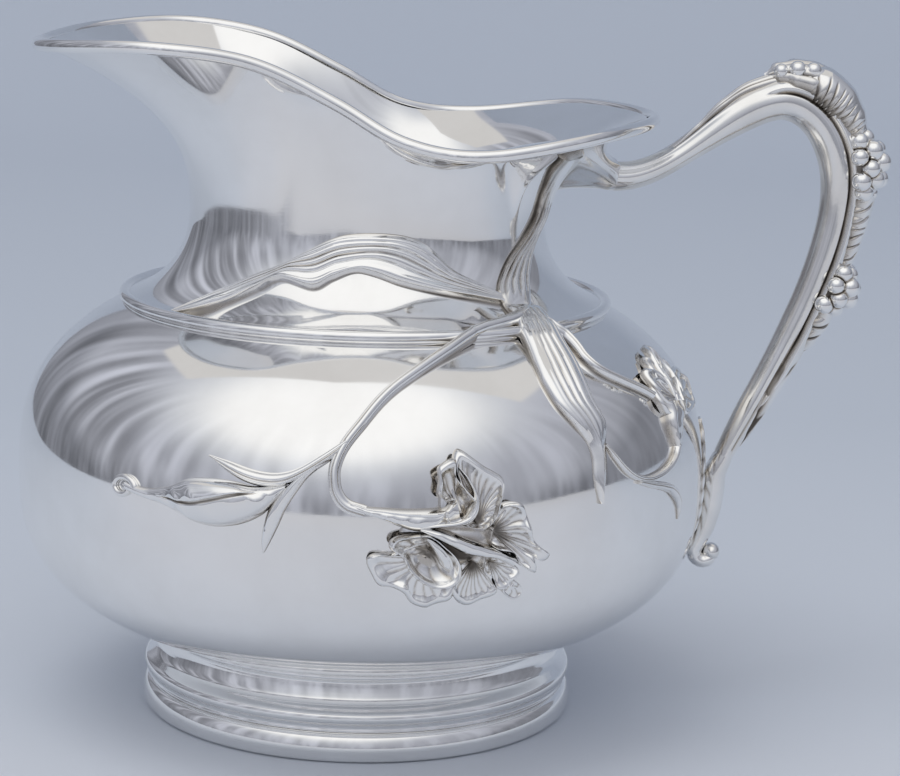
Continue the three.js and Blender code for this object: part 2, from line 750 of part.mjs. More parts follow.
function petal(side, { line, half, heart, tip }) {
  const wave = (t, across) => (0.7 * Math.cos(3.2 * Math.PI * t) + 0.46) * petalRuffle * across * across;
  const top = (t, across) => flowerRelief * mix(heart, tip, t * t) + wave(t, across);
  const wide = (t) => petalHalfWidth * half * Math.pow(Math.sin(Math.PI * mix(0.14, 0.9, t)), 0.8);
  return laid(side, line, 5, 3, wide, top);
}

function irisFlower(side) {
  const boss = laid(side, [[81.5, -88], [76, -90.9], [70.5, -96.3]], 4, 4,
    (t) => 0.78 * petalHalfWidth * run([0.5, 1, 1, 0.5], t), domed(flowerRelief, 0.24 * flowerRelief));
  const calyx = laid(side, [[86.4, -82.4], [83.6, -85.1], [80.6, -88]], 4, 3,
    (t) => petalHalfWidth * mix(0.22, 0.44, t), domed(0.71 * flowerRelief, 0.16 * flowerRelief));
  const tongue = laid(side, [[81.6, -86.6], [74.6, -93.4], [68.2, -104.1]], 5, 3,
    (t) => 0.29 * petalHalfWidth * run([0.8, 1, 1, 0.5], t),
    (t, across) => flowerRelief * (1 + mix(0.23, 0.1, across * across) - 0.35 * t * t));
  return joined([boss, calyx, tongue, ...irisPetals.map((one) => petal(side, one))]);
}

function backStalk(side) {
  return laid(side, [[40.8, -7], [39.8, -12.4], [38, -18.6], [35.8, -25.4], [34, -29.4], [33, -31.6]], 10, 3,
    (t) => stemHalfWidth * mix(1, 0.7, t), domed(0.88 * stemRelief, 0.3 * stemRelief));
}

// The right one hangs lower, out of sight behind the shoulder
function backFlower(side) {
  const tips = side < 0 ? [[29.6, -31], [18.6, -19.4], [13, -38]] : [[31, -40], [26, -37], [20, -46]];
  const cup = laid(side, [[27.4, -60.8], [26.2, -52.4], [23.6, -44.6]], 4, 3,
    (t) => petalHalfWidth * run([0.16, 0.29, 0.54], t),
    (t, across) => flowerRelief * mix(run([0.36, 0.5, 0.56], t), 0.13, across * across));
  const open = tips.map((tip) => (
    laid(side, [[23.8, -46.6], [mix(23.8, tip[0], 0.5), mix(-46.6, tip[1], 0.5)], tip], 4, 3,
      (t) => 0.61 * petalHalfWidth * run([0.5, 1, 0.45], t),
      (t, across) => flowerRelief * (mix(0.48, 0.32, t) + 0.1 * across * across))
  ));
  return joined([cup, ...open]);
}

function backStem(side) {
  return laid(side,
    [[45.6, -60.5], [44.4, -64.5], [42, -69.4], [38, -73], [34, -73.4], [30.4, -70], [28.2, -63.8]], 10, 3,
    () => 0.78 * stemHalfWidth, domed(0.8 * stemRelief, 0.3 * stemRelief));
}

function backLeaf(side) {
  return laid(side, [[41, -77.2], [37, -81.8], [32, -83], [28.6, -88.8], [26.6, -97.9], [26, -104.1]], 9, 3,
    (t) => smallLeafHalfWidth * run([0.31, 0.81, 1, 0.94, 0.69, 0.25], t),
    domed(0.77 * stemRelief, 0.3 * stemRelief));
}

const brightSilver = { color: 0xd3d4d6, roughness: 0.12, metalness: 1 };
const castSilver = { color: 0xc2c0bb, roughness: 0.24, metalness: 1 };

const pitcher = new THREE.Group();
function add(name, geometry, look) {
  const mesh = new THREE.Mesh(geometry, new THREE.MeshStandardMaterial(look));
  mesh.name = name;
  pitcher.add(mesh);
}

add('bowl', bowl(), brightSilver);
add('neck_throat', neckThroat(), brightSilver);
add('neck_flare', neckFlareSheet(-spoutTurn, spoutTurn), brightSilver);
add('spout_lip', neckFlareSheet(spoutTurn, 360 - spoutTurn), brightSilver);
add('collar_wire', collarWire(), brightSilver);
add('rim_wire_left', rimWire(-1), brightSilver);
add('rim_wire_right', rimWire(1), brightSilver);
add('foot_ring', footRing(), brightSilver);
add('foot_base_wire', footBaseWire(), brightSilver);

add('handle_half_left', handleHalf(-1), castSilver);
add('handle_half_right', handleHalf(1), castSilver);
add('handle_root', handleRoot(), castSilver);
add('handle_scroll', handleScroll(), castSilver);
add('handle_leaf_plate', handlePlate(), castSilver);
add('handle_cap_leaf', handleLeaf(capPlace, [8, 30, 52, 60, 62], [0.9, 1.2, 1.6, 2.4, 3]), castSilver);
add('handle_crest_leaf', handleLeaf(crestPlace, [56, 60, 52, 30], [4, 6, 5.6, 3]), castSilver);
add('handle_upper_berries', handleBerries(upperPlace, berryRows.upper), castSilver);
add('handle_scroll_leaf', handleLeaf(scrollPlace, [34, 46, 44, 26], [2.6, 3.8, 3.2, 2]), castSilver);
add('handle_lower_berries', handleBerries(lowerPlace, berryRows.lower), castSilver);
add('handle_tail_leaf', handleLeaf(tailPlace, [34, 52, 40, 14], [2.4, 3.2, 2.2, 0.9]), castSilver);
add('handle_end_leaf', handleLeaf(endPlace, [12, 42, 46, 10], [1, 1.8, 1.4, 0.8]), castSilver);

for (const [label, side] of [['left', -1], ['right', 1]]) {
  add(`stalk_strap_${label}`, strap(side), castSilver);
  add(`long_leaf_${label}`, longLeaf(side), castSilver);
  add(`hanging_leaf_${label}`, hangingLeaf(side), castSilver);
  add(`flower_stem_${label}`, flowerStem(side), castSilver);
  add(`iris_flower_${label}`, irisFlower(side), castSilver);
  add(`curl_leaf_${label}`, curlLeaf(side), castSilver);
  add(`sickle_leaf_${label}`, sickleLeaf(side), castSilver);
  add(`bud_${label}`, bud(side), castSilver);
  add(`back_stalk_${label}`, backStalk(side), castSilver);
  add(`back_flower_${label}`, backFlower(side), castSilver);
  add(`back_stem_${label}`, backStem(side), castSilver);
  add(`back_leaf_${label}`, backLeaf(side), castSilver);
}

// The foot's axis moves off the origin so that the origin lies under the middle of the whole pitcher
const extent = new THREE.Box3().setFromObject(pitcher, true);
pitcher.position.x = -(extent.min.x + extent.max.x) / 2;

const part = new THREE.Group();
part.add(pitcher);

export default part;
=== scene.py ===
import math

import bpy
import numpy as np
from mathutils import Matrix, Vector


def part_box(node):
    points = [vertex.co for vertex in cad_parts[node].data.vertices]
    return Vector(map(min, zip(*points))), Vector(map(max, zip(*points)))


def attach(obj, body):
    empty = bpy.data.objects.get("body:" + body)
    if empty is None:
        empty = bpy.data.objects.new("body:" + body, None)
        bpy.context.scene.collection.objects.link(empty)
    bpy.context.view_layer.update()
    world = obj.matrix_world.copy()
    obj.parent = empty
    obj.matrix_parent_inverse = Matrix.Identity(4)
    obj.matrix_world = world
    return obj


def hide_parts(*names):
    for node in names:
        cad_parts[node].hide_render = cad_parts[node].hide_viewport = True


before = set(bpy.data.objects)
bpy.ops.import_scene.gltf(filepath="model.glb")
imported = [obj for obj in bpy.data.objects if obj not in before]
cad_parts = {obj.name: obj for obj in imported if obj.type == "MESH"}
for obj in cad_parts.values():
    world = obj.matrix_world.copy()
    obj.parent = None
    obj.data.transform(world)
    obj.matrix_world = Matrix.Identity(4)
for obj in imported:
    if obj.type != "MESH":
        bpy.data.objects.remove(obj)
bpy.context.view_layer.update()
bowlLow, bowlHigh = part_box("bowl")
axisX = (bowlLow.x + bowlHigh.x) / 2  # the foot's axis in the row frame
print("frame loaded, foot axis at", round(axisX, 5))

scene = bpy.context.scene
scene.view_settings.view_transform = "Standard"

# Body sizes in millimetres about the foot's axis, as in the CAD source
body = {
    "bellyRadius": 95.3, "bellyHeight": 67.0, "equator": 68.4, "squareAcross": 2.2, "squareDown": 2.8,
    "shoulderTurn": 2.65, "collarRadius": 65.6, "collarHeight": 115.4, "seatRadius": 57.0, "footHeight": 23.5,
    "wall": 1.1, "throatRadius": 49.0, "neckRise": 23.6, "neckFootRadius": 66.4, "neckFootLift": 1.2,
    "neckFootTurn": math.radians(78), "lipFlare": 2.7, "brimFlare": 20, "rimSink": 0.6,
}
collarZ = body["collarHeight"]
throatZ = collarZ + body["neckRise"]
shoulder = collarZ - body["bellyHeight"]
neckFootZ = collarZ + body["neckFootLift"]
shoulderRise = (collarZ - body["equator"]) / (
    1 - (body["collarRadius"] / body["bellyRadius"]) ** 2) ** (1 / body["shoulderTurn"])
bowlDepth = (body["equator"] - body["footHeight"]) / (
    1 - (body["seatRadius"] / body["bellyRadius"]) ** body["squareAcross"]) ** (1 / body["squareDown"])

# Rim line: reach along the axis to the handle, half width, rise above the throat
rimHalf = [
    (-90.4, 0.0, 44.6), (-80.42, 36.08, 46.42), (-56.0, 55.5, 47.9), (-31.09, 53.25, 44.8), (-9.0, 53.0, 35.0),
    (8.94, 56.4, 25.56), (30.0, 61.0, 23.2), (61.2, 45.4, 27.72), (78.0, 0.0, 28.4),
]


def mixed(a, b, f):
    return a + (b - a) * f


def eased(f):
    c = np.clip(f, 0, 1)
    return c * c * (3 - 2 * c)


def run(values, t):  # a smooth run through evenly spaced values
    place = np.clip(t, 0, 1) * (len(values) - 1)
    i = np.minimum(len(values) - 2, np.floor(place).astype(int))
    values = np.asarray(values, float)
    return mixed(values[i], values[i + 1], eased(place - i))


def throughPoints(points, t):  # a smooth open line through points, even along its length
    p = np.asarray(points, float)
    s = np.concatenate([[0], np.cumsum(np.linalg.norm(np.diff(p, axis=0), axis=1))])
    m = np.zeros_like(p)
    m[1:-1] = (p[2:] - p[:-2]) / (s[2:] - s[:-2])[:, None]
    m[0] = (p[1] - p[0]) / (s[1] - s[0])
    m[-1] = (p[-1] - p[-2]) / (s[-1] - s[-2])
    x = np.clip(np.asarray(t, float), 0, 1) * s[-1]
    i = np.clip(np.searchsorted(s, x, side="right") - 1, 0, len(p) - 2)
    h = (s[i + 1] - s[i])[..., None]
    u = (x - s[i])[..., None] / h
    return ((2 * u ** 3 - 3 * u ** 2 + 1) * p[i] + (u ** 3 - 2 * u ** 2 + u) * h * m[i]
            + (-2 * u ** 3 + 3 * u ** 2) * p[i + 1] + (u ** 3 - u ** 2) * h * m[i + 1])


def closedThrough(points, t):  # the same, run round into a loop
    p = np.asarray(points, float)
    n = len(p)
    place = (np.asarray(t, float) % 1) * n
    i = np.floor(place).astype(int) % n
    u = (place - np.floor(place))[..., None]
    p0, p1, p2, p3 = p[(i - 1) % n], p[i], p[(i + 1) % n], p[(i + 2) % n]
    m1, m2 = (p2 - p0) / 2, (p3 - p1) / 2
    return ((2 * u ** 3 - 3 * u ** 2 + 1) * p1 + (u ** 3 - 2 * u ** 2 + u) * m1
            + (-2 * u ** 3 + 3 * u ** 2) * p2 + (u ** 3 - u ** 2) * m2)


# Radius and height of the rim at each half degree, smoothed a little
rimRing = rimHalf + [(x, -y, z) for x, y, z in rimHalf[-2:0:-1]]
rimPoints = closedThrough(rimRing, np.linspace(0, 1, 3200, endpoint=False))
rimAngles = np.degrees(np.arctan2(rimPoints[:, 1], rimPoints[:, 0])) % 360
rimOrder = np.argsort(rimAngles)
halfDegrees = np.arange(0, 360, 0.5)


def rimTable(values):
    table = np.interp(halfDegrees, rimAngles[rimOrder], values[rimOrder], period=360)
    kernel = np.exp(-0.5 * (np.arange(-20, 21) * 0.5 / 2.2) ** 2)
    return np.convolve(np.concatenate([table[-20:], table, table[:20]]), kernel / kernel.sum(), "valid")


rimRadii = rimTable(np.hypot(rimPoints[:, 0], rimPoints[:, 1]))
rimHeights = rimTable(rimPoints[:, 2] + throatZ)


def rimRadius(azimuth):
    return np.interp(np.degrees(azimuth) % 360, halfDegrees, rimRadii, period=360)


def rimHeight(azimuth):
    return np.interp(np.degrees(azimuth) % 360, halfDegrees, rimHeights, period=360)


def bowlRadius(z):
    drop = np.clip((body["equator"] - z) / bowlDepth, 0, 1)
    low = body["bellyRadius"] * (1 - drop ** body["squareDown"]) ** (1 / body["squareAcross"])
    rise = np.clip((z - body["equator"]) / shoulderRise, 0, 1)
    high = body["bellyRadius"] * np.sqrt(1 - rise ** body["shoulderTurn"])
    return np.where(z < body["equator"], low, high)


# On the left the wall stays steep and turns out only close under the rim
def brimShare(azimuth):
    turn = -np.degrees(np.arctan2(np.sin(azimuth), np.cos(azimuth)))
    return eased((turn - 36) / 18) * (1 - eased((turn - 95) / 25))


def neckRadius(azimuth, z):
    end = body["neckFootTurn"]
    turn = np.arcsin(np.clip((throatZ - z) / (throatZ - neckFootZ), 0, 1) * math.sin(end))
    spread = (1 - np.cos(turn)) / (1 - math.cos(end))
    low = body["throatRadius"] + (body["neckFootRadius"] - body["throatRadius"]) * spread
    brim = brimShare(azimuth)
    rise = rimHeight(azimuth) - throatZ - body["rimSink"] * brim
    share = np.clip((z - throatZ) / rise, 0, 1.02)
    over = rimRadius(azimuth) - body["throatRadius"]
    gentle = brim * np.clip(0.2 * rise / over, 0, 1)
    flare = mixed(body["lipFlare"], body["brimFlare"], brim)
    high = body["throatRadius"] + over * (gentle * share ** 2 + (1 - gentle) * share ** flare)
    return np.where(z < throatZ, low, high)


def skinRadius(azimuth, z):
    return np.where(z <= collarZ, bowlRadius(z), neckRadius(azimuth, z))


def castRadius(azimuth, z):  # as castings lie, smooth across the seam under the collar wire
    low, high = collarZ - 3, collarZ + 4.5
    span = high - low
    r0, r1 = bowlRadius(low), neckRadius(azimuth, high)
    m0 = (r0 - bowlRadius(low - 0.2)) / 0.2 * span
    m1 = (neckRadius(azimuth, high + 0.2) - r1) / 0.2 * span
    u = np.clip((z - low) / span, 0, 1)
    across = ((2 * u ** 3 - 3 * u ** 2 + 1) * r0 + (u ** 3 - 2 * u ** 2 + u) * m0
              + (3 * u ** 2 - 2 * u ** 3) * r1 + (u ** 3 - u ** 2) * m1)
    return np.where((z > low) & (z < high), across, skinRadius(azimuth, z))


def skin(azimuth, z, lift):  # a point on the outside, lifted square off it
    slope = castRadius(azimuth, z + 0.5) - castRadius(azimuth, z - 0.5)
    length = np.hypot(1, slope)
    r = castRadius(azimuth, z) + lift / length
    return np.stack([r * np.cos(azimuth), r * np.sin(azimuth), z - lift * slope / length], -1)


def levelAt(rise):  # hundredths of the shoulder below the collar, of the neck above it
    return collarZ + rise / 100 * np.where(rise < 0, shoulder, body["neckRise"])


def overCollar(z):  # castings bridge the collar wire
    return 1.4 * np.exp(-((z - collarZ - 0.5) / 4.0) ** 2)


def newMaterial(name):
    material = bpy.data.materials.new(name)
    material.use_nodes = True
    nodes = material.node_tree.nodes
    return material, nodes, material.node_tree.links, nodes["Principled BSDF"]


# Polished sheet: nearly white, faint clouds, fine wiping scratches, a slight hammered unevenness
brightLook = {"light": (0.95, 0.945, 0.935, 1), "cloud": (0.9, 0.893, 0.88, 1), "smooth": 0.045, "dull": 0.11}


def brightSilverMaterial():
    material, nodes, links, shader = newMaterial("brightSilver")
    place = nodes.new("ShaderNodeTexCoord")
    clouds = nodes.new("ShaderNodeTexNoise")
    clouds.inputs["Scale"].default_value = 38
    clouds.inputs["Detail"].default_value = 6
    clouds.inputs["Roughness"].default_value = 0.62
    links.new(place.outputs["Object"], clouds.inputs["Vector"])
    tint = nodes.new("ShaderNodeValToRGB")
    tint.color_ramp.elements[0].position = 0.36
    tint.color_ramp.elements[0].color = brightLook["cloud"]
    tint.color_ramp.elements[1].position = 0.62
    tint.color_ramp.elements[1].color = brightLook["light"]
    links.new(clouds.outputs["Fac"], tint.inputs["Fac"])
    links.new(tint.outputs["Color"], shader.inputs["Base Color"])
    stretch = nodes.new("ShaderNodeMapping")
    stretch.inputs["Scale"].default_value = (260, 260, 2600)
    stretch.inputs["Rotation"].default_value = (0.5, 0.3, 0)
    links.new(place.outputs["Object"], stretch.inputs["Vector"])
    wipes = nodes.new("ShaderNodeTexNoise")
    wipes.inputs["Scale"].default_value = 1
    wipes.inputs["Detail"].default_value = 3
    links.new(stretch.outputs["Vector"], wipes.inputs["Vector"])
    gloss = nodes.new("ShaderNodeMapRange")
    gloss.inputs["From Min"].default_value = 0.35
    gloss.inputs["From Max"].default_value = 0.75
    gloss.inputs["To Min"].default_value = brightLook["smooth"]
    gloss.inputs["To Max"].default_value = brightLook["dull"]
    links.new(clouds.outputs["Fac"], gloss.inputs["Value"])
    links.new(gloss.outputs["Result"], shader.inputs["Roughness"])
    wave = nodes.new("ShaderNodeTexNoise")
    wave.inputs["Scale"].default_value = 30
    wave.inputs["Detail"].default_value = 1
    links.new(place.outputs["Object"], wave.inputs["Vector"])
    slow = nodes.new("ShaderNodeBump")
    slow.inputs["Strength"].default_value = 0.16
    slow.inputs["Distance"].default_value = 0.0011
    links.new(wave.outputs["Fac"], slow.inputs["Height"])
    fine = nodes.new("ShaderNodeBump")
    fine.inputs["Strength"].default_value = 0.05
    fine.inputs["Distance"].default_value = 0.00003
    links.new(wipes.outputs["Fac"], fine.inputs["Height"])
    links.new(slow.outputs["Normal"], fine.inputs["Normal"])
    links.new(fine.outputs["Normal"], shader.inputs["Normal"])
    shader.inputs["Metallic"].default_value = 1
    return material


# Cast silver: polished on the high places, brown to near black where a piece's per-point darkness is high; that
# darkness is partly patina in the recesses and partly painted shade in grooves, along the edges where castings meet the
# body, on their undersides and on sides turned from the light
castLook = {"high": (0.93, 0.925, 0.912, 1), "warm": (0.56, 0.52, 0.47, 1), "deep": (0.12, 0.105, 0.09, 1)}


def castSilverMaterial():
    material, nodes, links, shader = newMaterial("castSilver")
    place = nodes.new("ShaderNodeTexCoord")
    # per-point darkness of each piece: patina and painted shade together
    recess = nodes.new("ShaderNodeAttribute")
    recess.attribute_name = "tarnishAndShade"
    grain = nodes.new("ShaderNodeTexNoise")
    grain.inputs["Scale"].default_value = 420
    grain.inputs["Detail"].default_value = 5
    links.new(place.outputs["Object"], grain.inputs["Vector"])
    patch = nodes.new("ShaderNodeTexNoise")
    patch.inputs["Scale"].default_value = 70
    patch.inputs["Detail"].default_value = 3
    links.new(place.outputs["Object"], patch.inputs["Vector"])
    vary = nodes.new("ShaderNodeMapRange")
    vary.inputs["From Min"].default_value = 0.3
    vary.inputs["From Max"].default_value = 0.7
    vary.inputs["To Min"].default_value = 0.55
    vary.inputs["To Max"].default_value = 1.25
    links.new(patch.outputs["Fac"], vary.inputs["Value"])
    amount = nodes.new("ShaderNodeMath")
    amount.operation = "MULTIPLY"
    amount.use_clamp = True
    links.new(recess.outputs["Fac"], amount.inputs[0])
    links.new(vary.outputs["Result"], amount.inputs[1])
    tint = nodes.new("ShaderNodeValToRGB")
    tint.color_ramp.elements[0].position = 0.08
    tint.color_ramp.elements[0].color = castLook["high"]
    tint.color_ramp.elements[1].position = 0.95
    tint.color_ramp.elements[1].color = castLook["deep"]
    middle = tint.color_ramp.elements.new(0.5)
    middle.color = castLook["warm"]
    links.new(amount.outputs["Value"], tint.inputs["Fac"])
    links.new(tint.outputs["Color"], shader.inputs["Base Color"])
    gloss = nodes.new("ShaderNodeMapRange")
    gloss.inputs["To Min"].default_value = 0.07
    gloss.inputs["To Max"].default_value = 0.46
    links.new(amount.outputs["Value"], gloss.inputs["Value"])
    links.new(gloss.outputs["Result"], shader.inputs["Roughness"])
    bump = nodes.new("ShaderNodeBump")
    bump.inputs["Strength"].default_value = 0.16
    bump.inputs["Distance"].default_value = 0.0001
    links.new(grain.outputs["Fac"], bump.inputs["Height"])
    links.new(bump.outputs["Normal"], shader.inputs["Normal"])
    shader.inputs["Metallic"].default_value = 1
    return material


brightSilver = brightSilverMaterial()
castSilver = castSilverMaterial()
print("finishes made")


def toRow(points):  # millimetres about the foot's axis to metres in the row frame
    out = np.asarray(points, float).reshape(-1, 3) * 0.001
    out[:, 0] += axisX
    return out


def addPiece(name, points, faces, material, nodes, tarnishAndShade=None, sharp=55):
    verts = toRow(points)
    mesh = bpy.data.meshes.new(name)
    mesh.from_pydata(verts.tolist(), [], [tuple(int(i) for i in f) for f in faces])
    mesh.validate()
    tris = np.array([[t.vertices[0], t.vertices[1], t.vertices[2]] for t in meshTriangles(mesh)])
    volume = np.einsum("ij,ij->i", verts[tris[:, 0]], np.cross(verts[tris[:, 1]], verts[tris[:, 2]])).sum()
    if volume < 0:
        mesh.flip_normals()
    if tarnishAndShade is not None:
        layer = mesh.attributes.new("tarnishAndShade", "FLOAT", "POINT")
        layer.data.foreach_set("value", np.clip(np.asarray(tarnishAndShade, float).ravel(), 0, 1))
    return finishPiece(name, mesh, material, nodes, sharp)


def meshTriangles(mesh):
    mesh.calc_loop_triangles()
    return mesh.loop_triangles


def finishPiece(name, mesh, material, nodes, sharp=55):
    mesh.polygons.foreach_set("use_smooth", [True] * len(mesh.polygons))
    if sharp:
        mesh.set_sharp_from_angle(angle=math.radians(sharp))
    mesh.materials.clear()
    mesh.materials.append(material)
    piece = bpy.data.objects.new(name, mesh)
    scene.collection.objects.link(piece)
    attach(piece, "root")
    if nodes:
        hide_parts(*nodes)
    return piece


def loopFaces(rows, columns, closeRows, closeColumns):  # quads over a grid of points
    i = np.arange(rows if closeRows else rows - 1)
    j = np.arange(columns if closeColumns else columns - 1)
    a, b = np.meshgrid(i, j, indexing="ij")
    c, d = (a + 1) % rows, (b + 1) % columns
    return np.stack([a * columns + b, c * columns + b, c * columns + d, a * columns + d], -1).reshape(-1, 4)


def turnedPiece(name, profile, nodes, segments=200):  # a closed profile of radius and height turned round the axis
    profile = np.asarray(profile, float)
    turn = np.arange(segments) / segments * 2 * math.pi
    points = np.stack([
        np.cos(turn)[:, None] * profile[None, :, 0],
        np.sin(turn)[:, None] * profile[None, :, 0],
        np.repeat(profile[None, :, 1], segments, 0)], -1)
    return addPiece(name, points, loopFaces(segments, len(profile), True, True), brightSilver, nodes)


# Bowl
def bowlProfile():
    u = np.linspace(0.03, math.pi / 2, 60, endpoint=False)
    lower = np.stack([body["bellyRadius"] * np.sin(u) ** (2 / body["squareAcross"]),
                      body["equator"] - bowlDepth * np.cos(u) ** (2 / body["squareDown"])], -1)
    last = math.acos(float(bowlRadius(np.array(collarZ - 0.1))) / body["bellyRadius"])
    v = np.linspace(0, last, 56)
    upper = np.stack([body["bellyRadius"] * np.cos(v),
                      body["equator"] + shoulderRise * np.sin(v) ** (2 / body["shoulderTurn"])], -1)
    return np.concatenate([lower, upper])


outer = bowlProfile()
along = np.gradient(outer, axis=0)
along /= np.linalg.norm(along, axis=1)[:, None]
inner = outer - body["wall"] * np.stack([along[:, 1], -along[:, 0]], -1)
# The bottom is closed by a fan at each pole
segments = 200
turn = np.arange(segments) / segments * 2 * math.pi
bowlLine = np.concatenate([outer, inner[::-1]])
rings = np.stack([np.cos(turn)[:, None] * bowlLine[None, :, 0], np.sin(turn)[:, None] * bowlLine[None, :, 0],
                  np.repeat(bowlLine[None, :, 1], segments, 0)], -1).reshape(-1, 3)
count = len(bowlLine)
poles = np.array([[0, 0, outer[0, 1]], [0, 0, inner[0, 1]]])
faces = [tuple(f) for f in loopFaces(segments, count, True, False)]
for i in range(segments):
    k = (i + 1) % segments
    faces.append((segments * count, k * count, i * count))
    faces.append((segments * count + 1, i * count + count - 1, k * count + count - 1))
addPiece("bowlShell", np.concatenate([rings, poles]), faces, brightSilver, ["bowl"])


# Neck and spout, one sheet from the collar to the rim wire
def neckPiece():
    around = 300
    azimuth = np.arange(around) / around * 2 * math.pi
    end = body["neckFootTurn"]
    low = throatZ - (throatZ - neckFootZ) * np.sin(np.linspace(end, 0, 40)) / math.sin(end)
    share = 1 - np.linspace(1, 0, 72)[1:] ** 1.7  # rows closest together under the rim
    a = azimuth[:, None]
    top = rimHeight(a) - body["rimSink"]
    z = np.concatenate([np.repeat(low[None], around, 0), throatZ + share[None] * (top - throatZ)], 1)
    r = neckRadius(a, z)
    dr, dz = np.gradient(r, axis=1), np.gradient(z, axis=1)
    size = np.hypot(dr, dz)
    ri, zi = r - body["wall"] * dz / size, z + body["wall"] * dr / size
    ri[:, 0], zi[:, 0] = r[:, 0] - 1.6, z[:, 0] - 0.4
    rr, zz = np.concatenate([r, ri[:, ::-1]], 1), np.concatenate([z, zi[:, ::-1]], 1)
    points = np.stack([rr * np.cos(a), rr * np.sin(a), zz], -1)
    return addPiece("neckAndSpout", points, loopFaces(around, rr.shape[1], True, True), brightSilver,
                    ["neck_throat", "neck_flare", "spout_lip"], sharp=50)


neckPiece()
print("bowl and neck made")


# Round wire swept along an edge loop
def wireTree():
    tree = bpy.data.node_groups.new("sweptWire", "GeometryNodeTree")
    face = tree.interface
    face.new_socket("Line", in_out="INPUT", socket_type="NodeSocketGeometry")
    radius = face.new_socket("Wire radius", in_out="INPUT", socket_type="NodeSocketFloat")
    sides = face.new_socket("Wire sides", in_out="INPUT", socket_type="NodeSocketInt")
    finish = face.new_socket("Finish", in_out="INPUT", socket_type="NodeSocketMaterial")
    face.new_socket("Wire", in_out="OUTPUT", socket_type="NodeSocketGeometry")
    nodes, links = tree.nodes, tree.links
    given = nodes.new("NodeGroupInput")
    curve = nodes.new("GeometryNodeMeshToCurve")
    ring = nodes.new("GeometryNodeCurvePrimitiveCircle")
    sweep = nodes.new("GeometryNodeCurveToMesh")
    smooth = nodes.new("GeometryNodeSetShadeSmooth")
    real = nodes.new("GeometryNodeRealizeInstances")
    dress = nodes.new("GeometryNodeSetMaterial")
    result = nodes.new("NodeGroupOutput")
    links.new(given.outputs["Line"], curve.inputs["Mesh"])
    links.new(given.outputs["Wire radius"], ring.inputs["Radius"])
    links.new(given.outputs["Wire sides"], ring.inputs["Resolution"])
    links.new(curve.outputs["Curve"], sweep.inputs["Curve"])
    links.new(ring.outputs["Curve"], sweep.inputs["Profile Curve"])
    links.new(sweep.outputs["Mesh"], smooth.inputs["Geometry"])
    links.new(smooth.outputs["Geometry"], real.inputs["Geometry"])
    links.new(real.outputs["Geometry"], dress.inputs["Geometry"])
    links.new(given.outputs["Finish"], dress.inputs["Material"])
    links.new(dress.outputs["Geometry"], result.inputs["Wire"])
    return tree, radius.identifier, sides.identifier, finish.identifier


sweptWire, wireRadiusId, wireSidesId, wireFinishId = wireTree()


def plainMesh(holder, name):  # the evaluated result as a mesh of its own
    evaluated = holder.evaluated_get(bpy.context.evaluated_depsgraph_get())
    mesh = bpy.data.meshes.new_from_object(evaluated)
    mesh.name = name
    bpy.data.objects.remove(holder, do_unlink=True)
    return mesh


def outwardMesh(mesh):
    co = np.array([v.co for v in mesh.vertices])
    tris = np.array([list(t.vertices) for t in meshTriangles(mesh)])
    if np.einsum("ij,ij->i", co[tris[:, 0]], np.cross(co[tris[:, 1]], co[tris[:, 2]])).sum() < 0:
        mesh.flip_normals()
    return mesh


def wirePiece(name, line, radius, sides, nodes):
    verts = toRow(line)
    mesh = bpy.data.meshes.new(name + "Line")
    mesh.from_pydata(verts.tolist(), [(i, (i + 1) % len(verts)) for i in range(len(verts))], [])
    holder = bpy.data.objects.new(name + "Line", mesh)
    scene.collection.objects.link(holder)
    sweep = holder.modifiers.new("sweep", "NODES")
    sweep.node_group = sweptWire
    sweep[wireRadiusId] = radius * 0.001
    sweep[wireSidesId] = sides
    sweep[wireFinishId] = brightSilver
    return finishPiece(name, outwardMesh(plainMesh(holder, name)), brightSilver, nodes, sharp=0)


collarWire = {"radius": 1.6, "lift": 0.9, "sides": 28, "steps": 260}
rimWire = {"radius": 1.75, "sides": 28, "steps": 420}
t = np.arange(collarWire["steps"]) / collarWire["steps"] * 2 * math.pi
wirePiece("collarWire", skin(t, np.full_like(t, collarZ), np.full_like(t, collarWire["lift"])),
          collarWire["radius"], collarWire["sides"], ["collar_wire"])
t = np.arange(rimWire["steps"]) / rimWire["steps"] * 2 * math.pi
rimLine = np.stack([rimRadius(t) * np.cos(t), rimRadius(t) * np.sin(t), rimHeight(t)], -1)
wirePiece("rimWire", rimLine, rimWire["radius"], rimWire["sides"], ["rim_wire_left", "rim_wire_right"])

# Foot: radius outside the seat and height of each turn of the moulding
footRing = {"seat": 57.0, "steps": 110, "turns": [
    (-1.6, 22.6), (0.2, 23.6), (0.7, 23.0), (0.2, 22.2), (-1.4, 21.8), (-2.05, 21.0), (-1.95, 20.0), (-1.75, 19.0),
    (-1.4, 17.8), (-0.9, 16.5), (-0.1, 15.45), (1.3, 14.5), (2.65, 13.6), (3.1, 12.8), (3.15, 11.9), (2.8, 11.0),
    (2.1, 10.4), (1.8, 9.4), (1.9, 8.5), (0.2, 8.2), (-2.2, 11.0), (-3.4, 16.0)]}
turnedPiece("footRing", closedThrough([(footRing["seat"] + r, z) for r, z in footRing["turns"]],
                                      np.arange(footRing["steps"]) / footRing["steps"]), ["foot_ring"])
footBase = {"out": 60.6, "steps": 70, "turns": [
    (-4.6, 0.5), (-3.4, 0.18), (-2.2, 0.14), (-1.1, 0.5), (-0.25, 1.7), (0.12, 3.4), (-0.15, 5.4), (-0.9, 7.2), (-2.0, 8.0),
    (-3.6, 8.05), (-4.6, 6.0), (-4.9, 3.0)]}
turnedPiece("footBase", closedThrough([(footBase["out"] + r, z) for r, z in footBase["turns"]],
                                      np.arange(footBase["steps"]) / footBase["steps"]), ["foot_base_wire"])
print("wires and foot made")


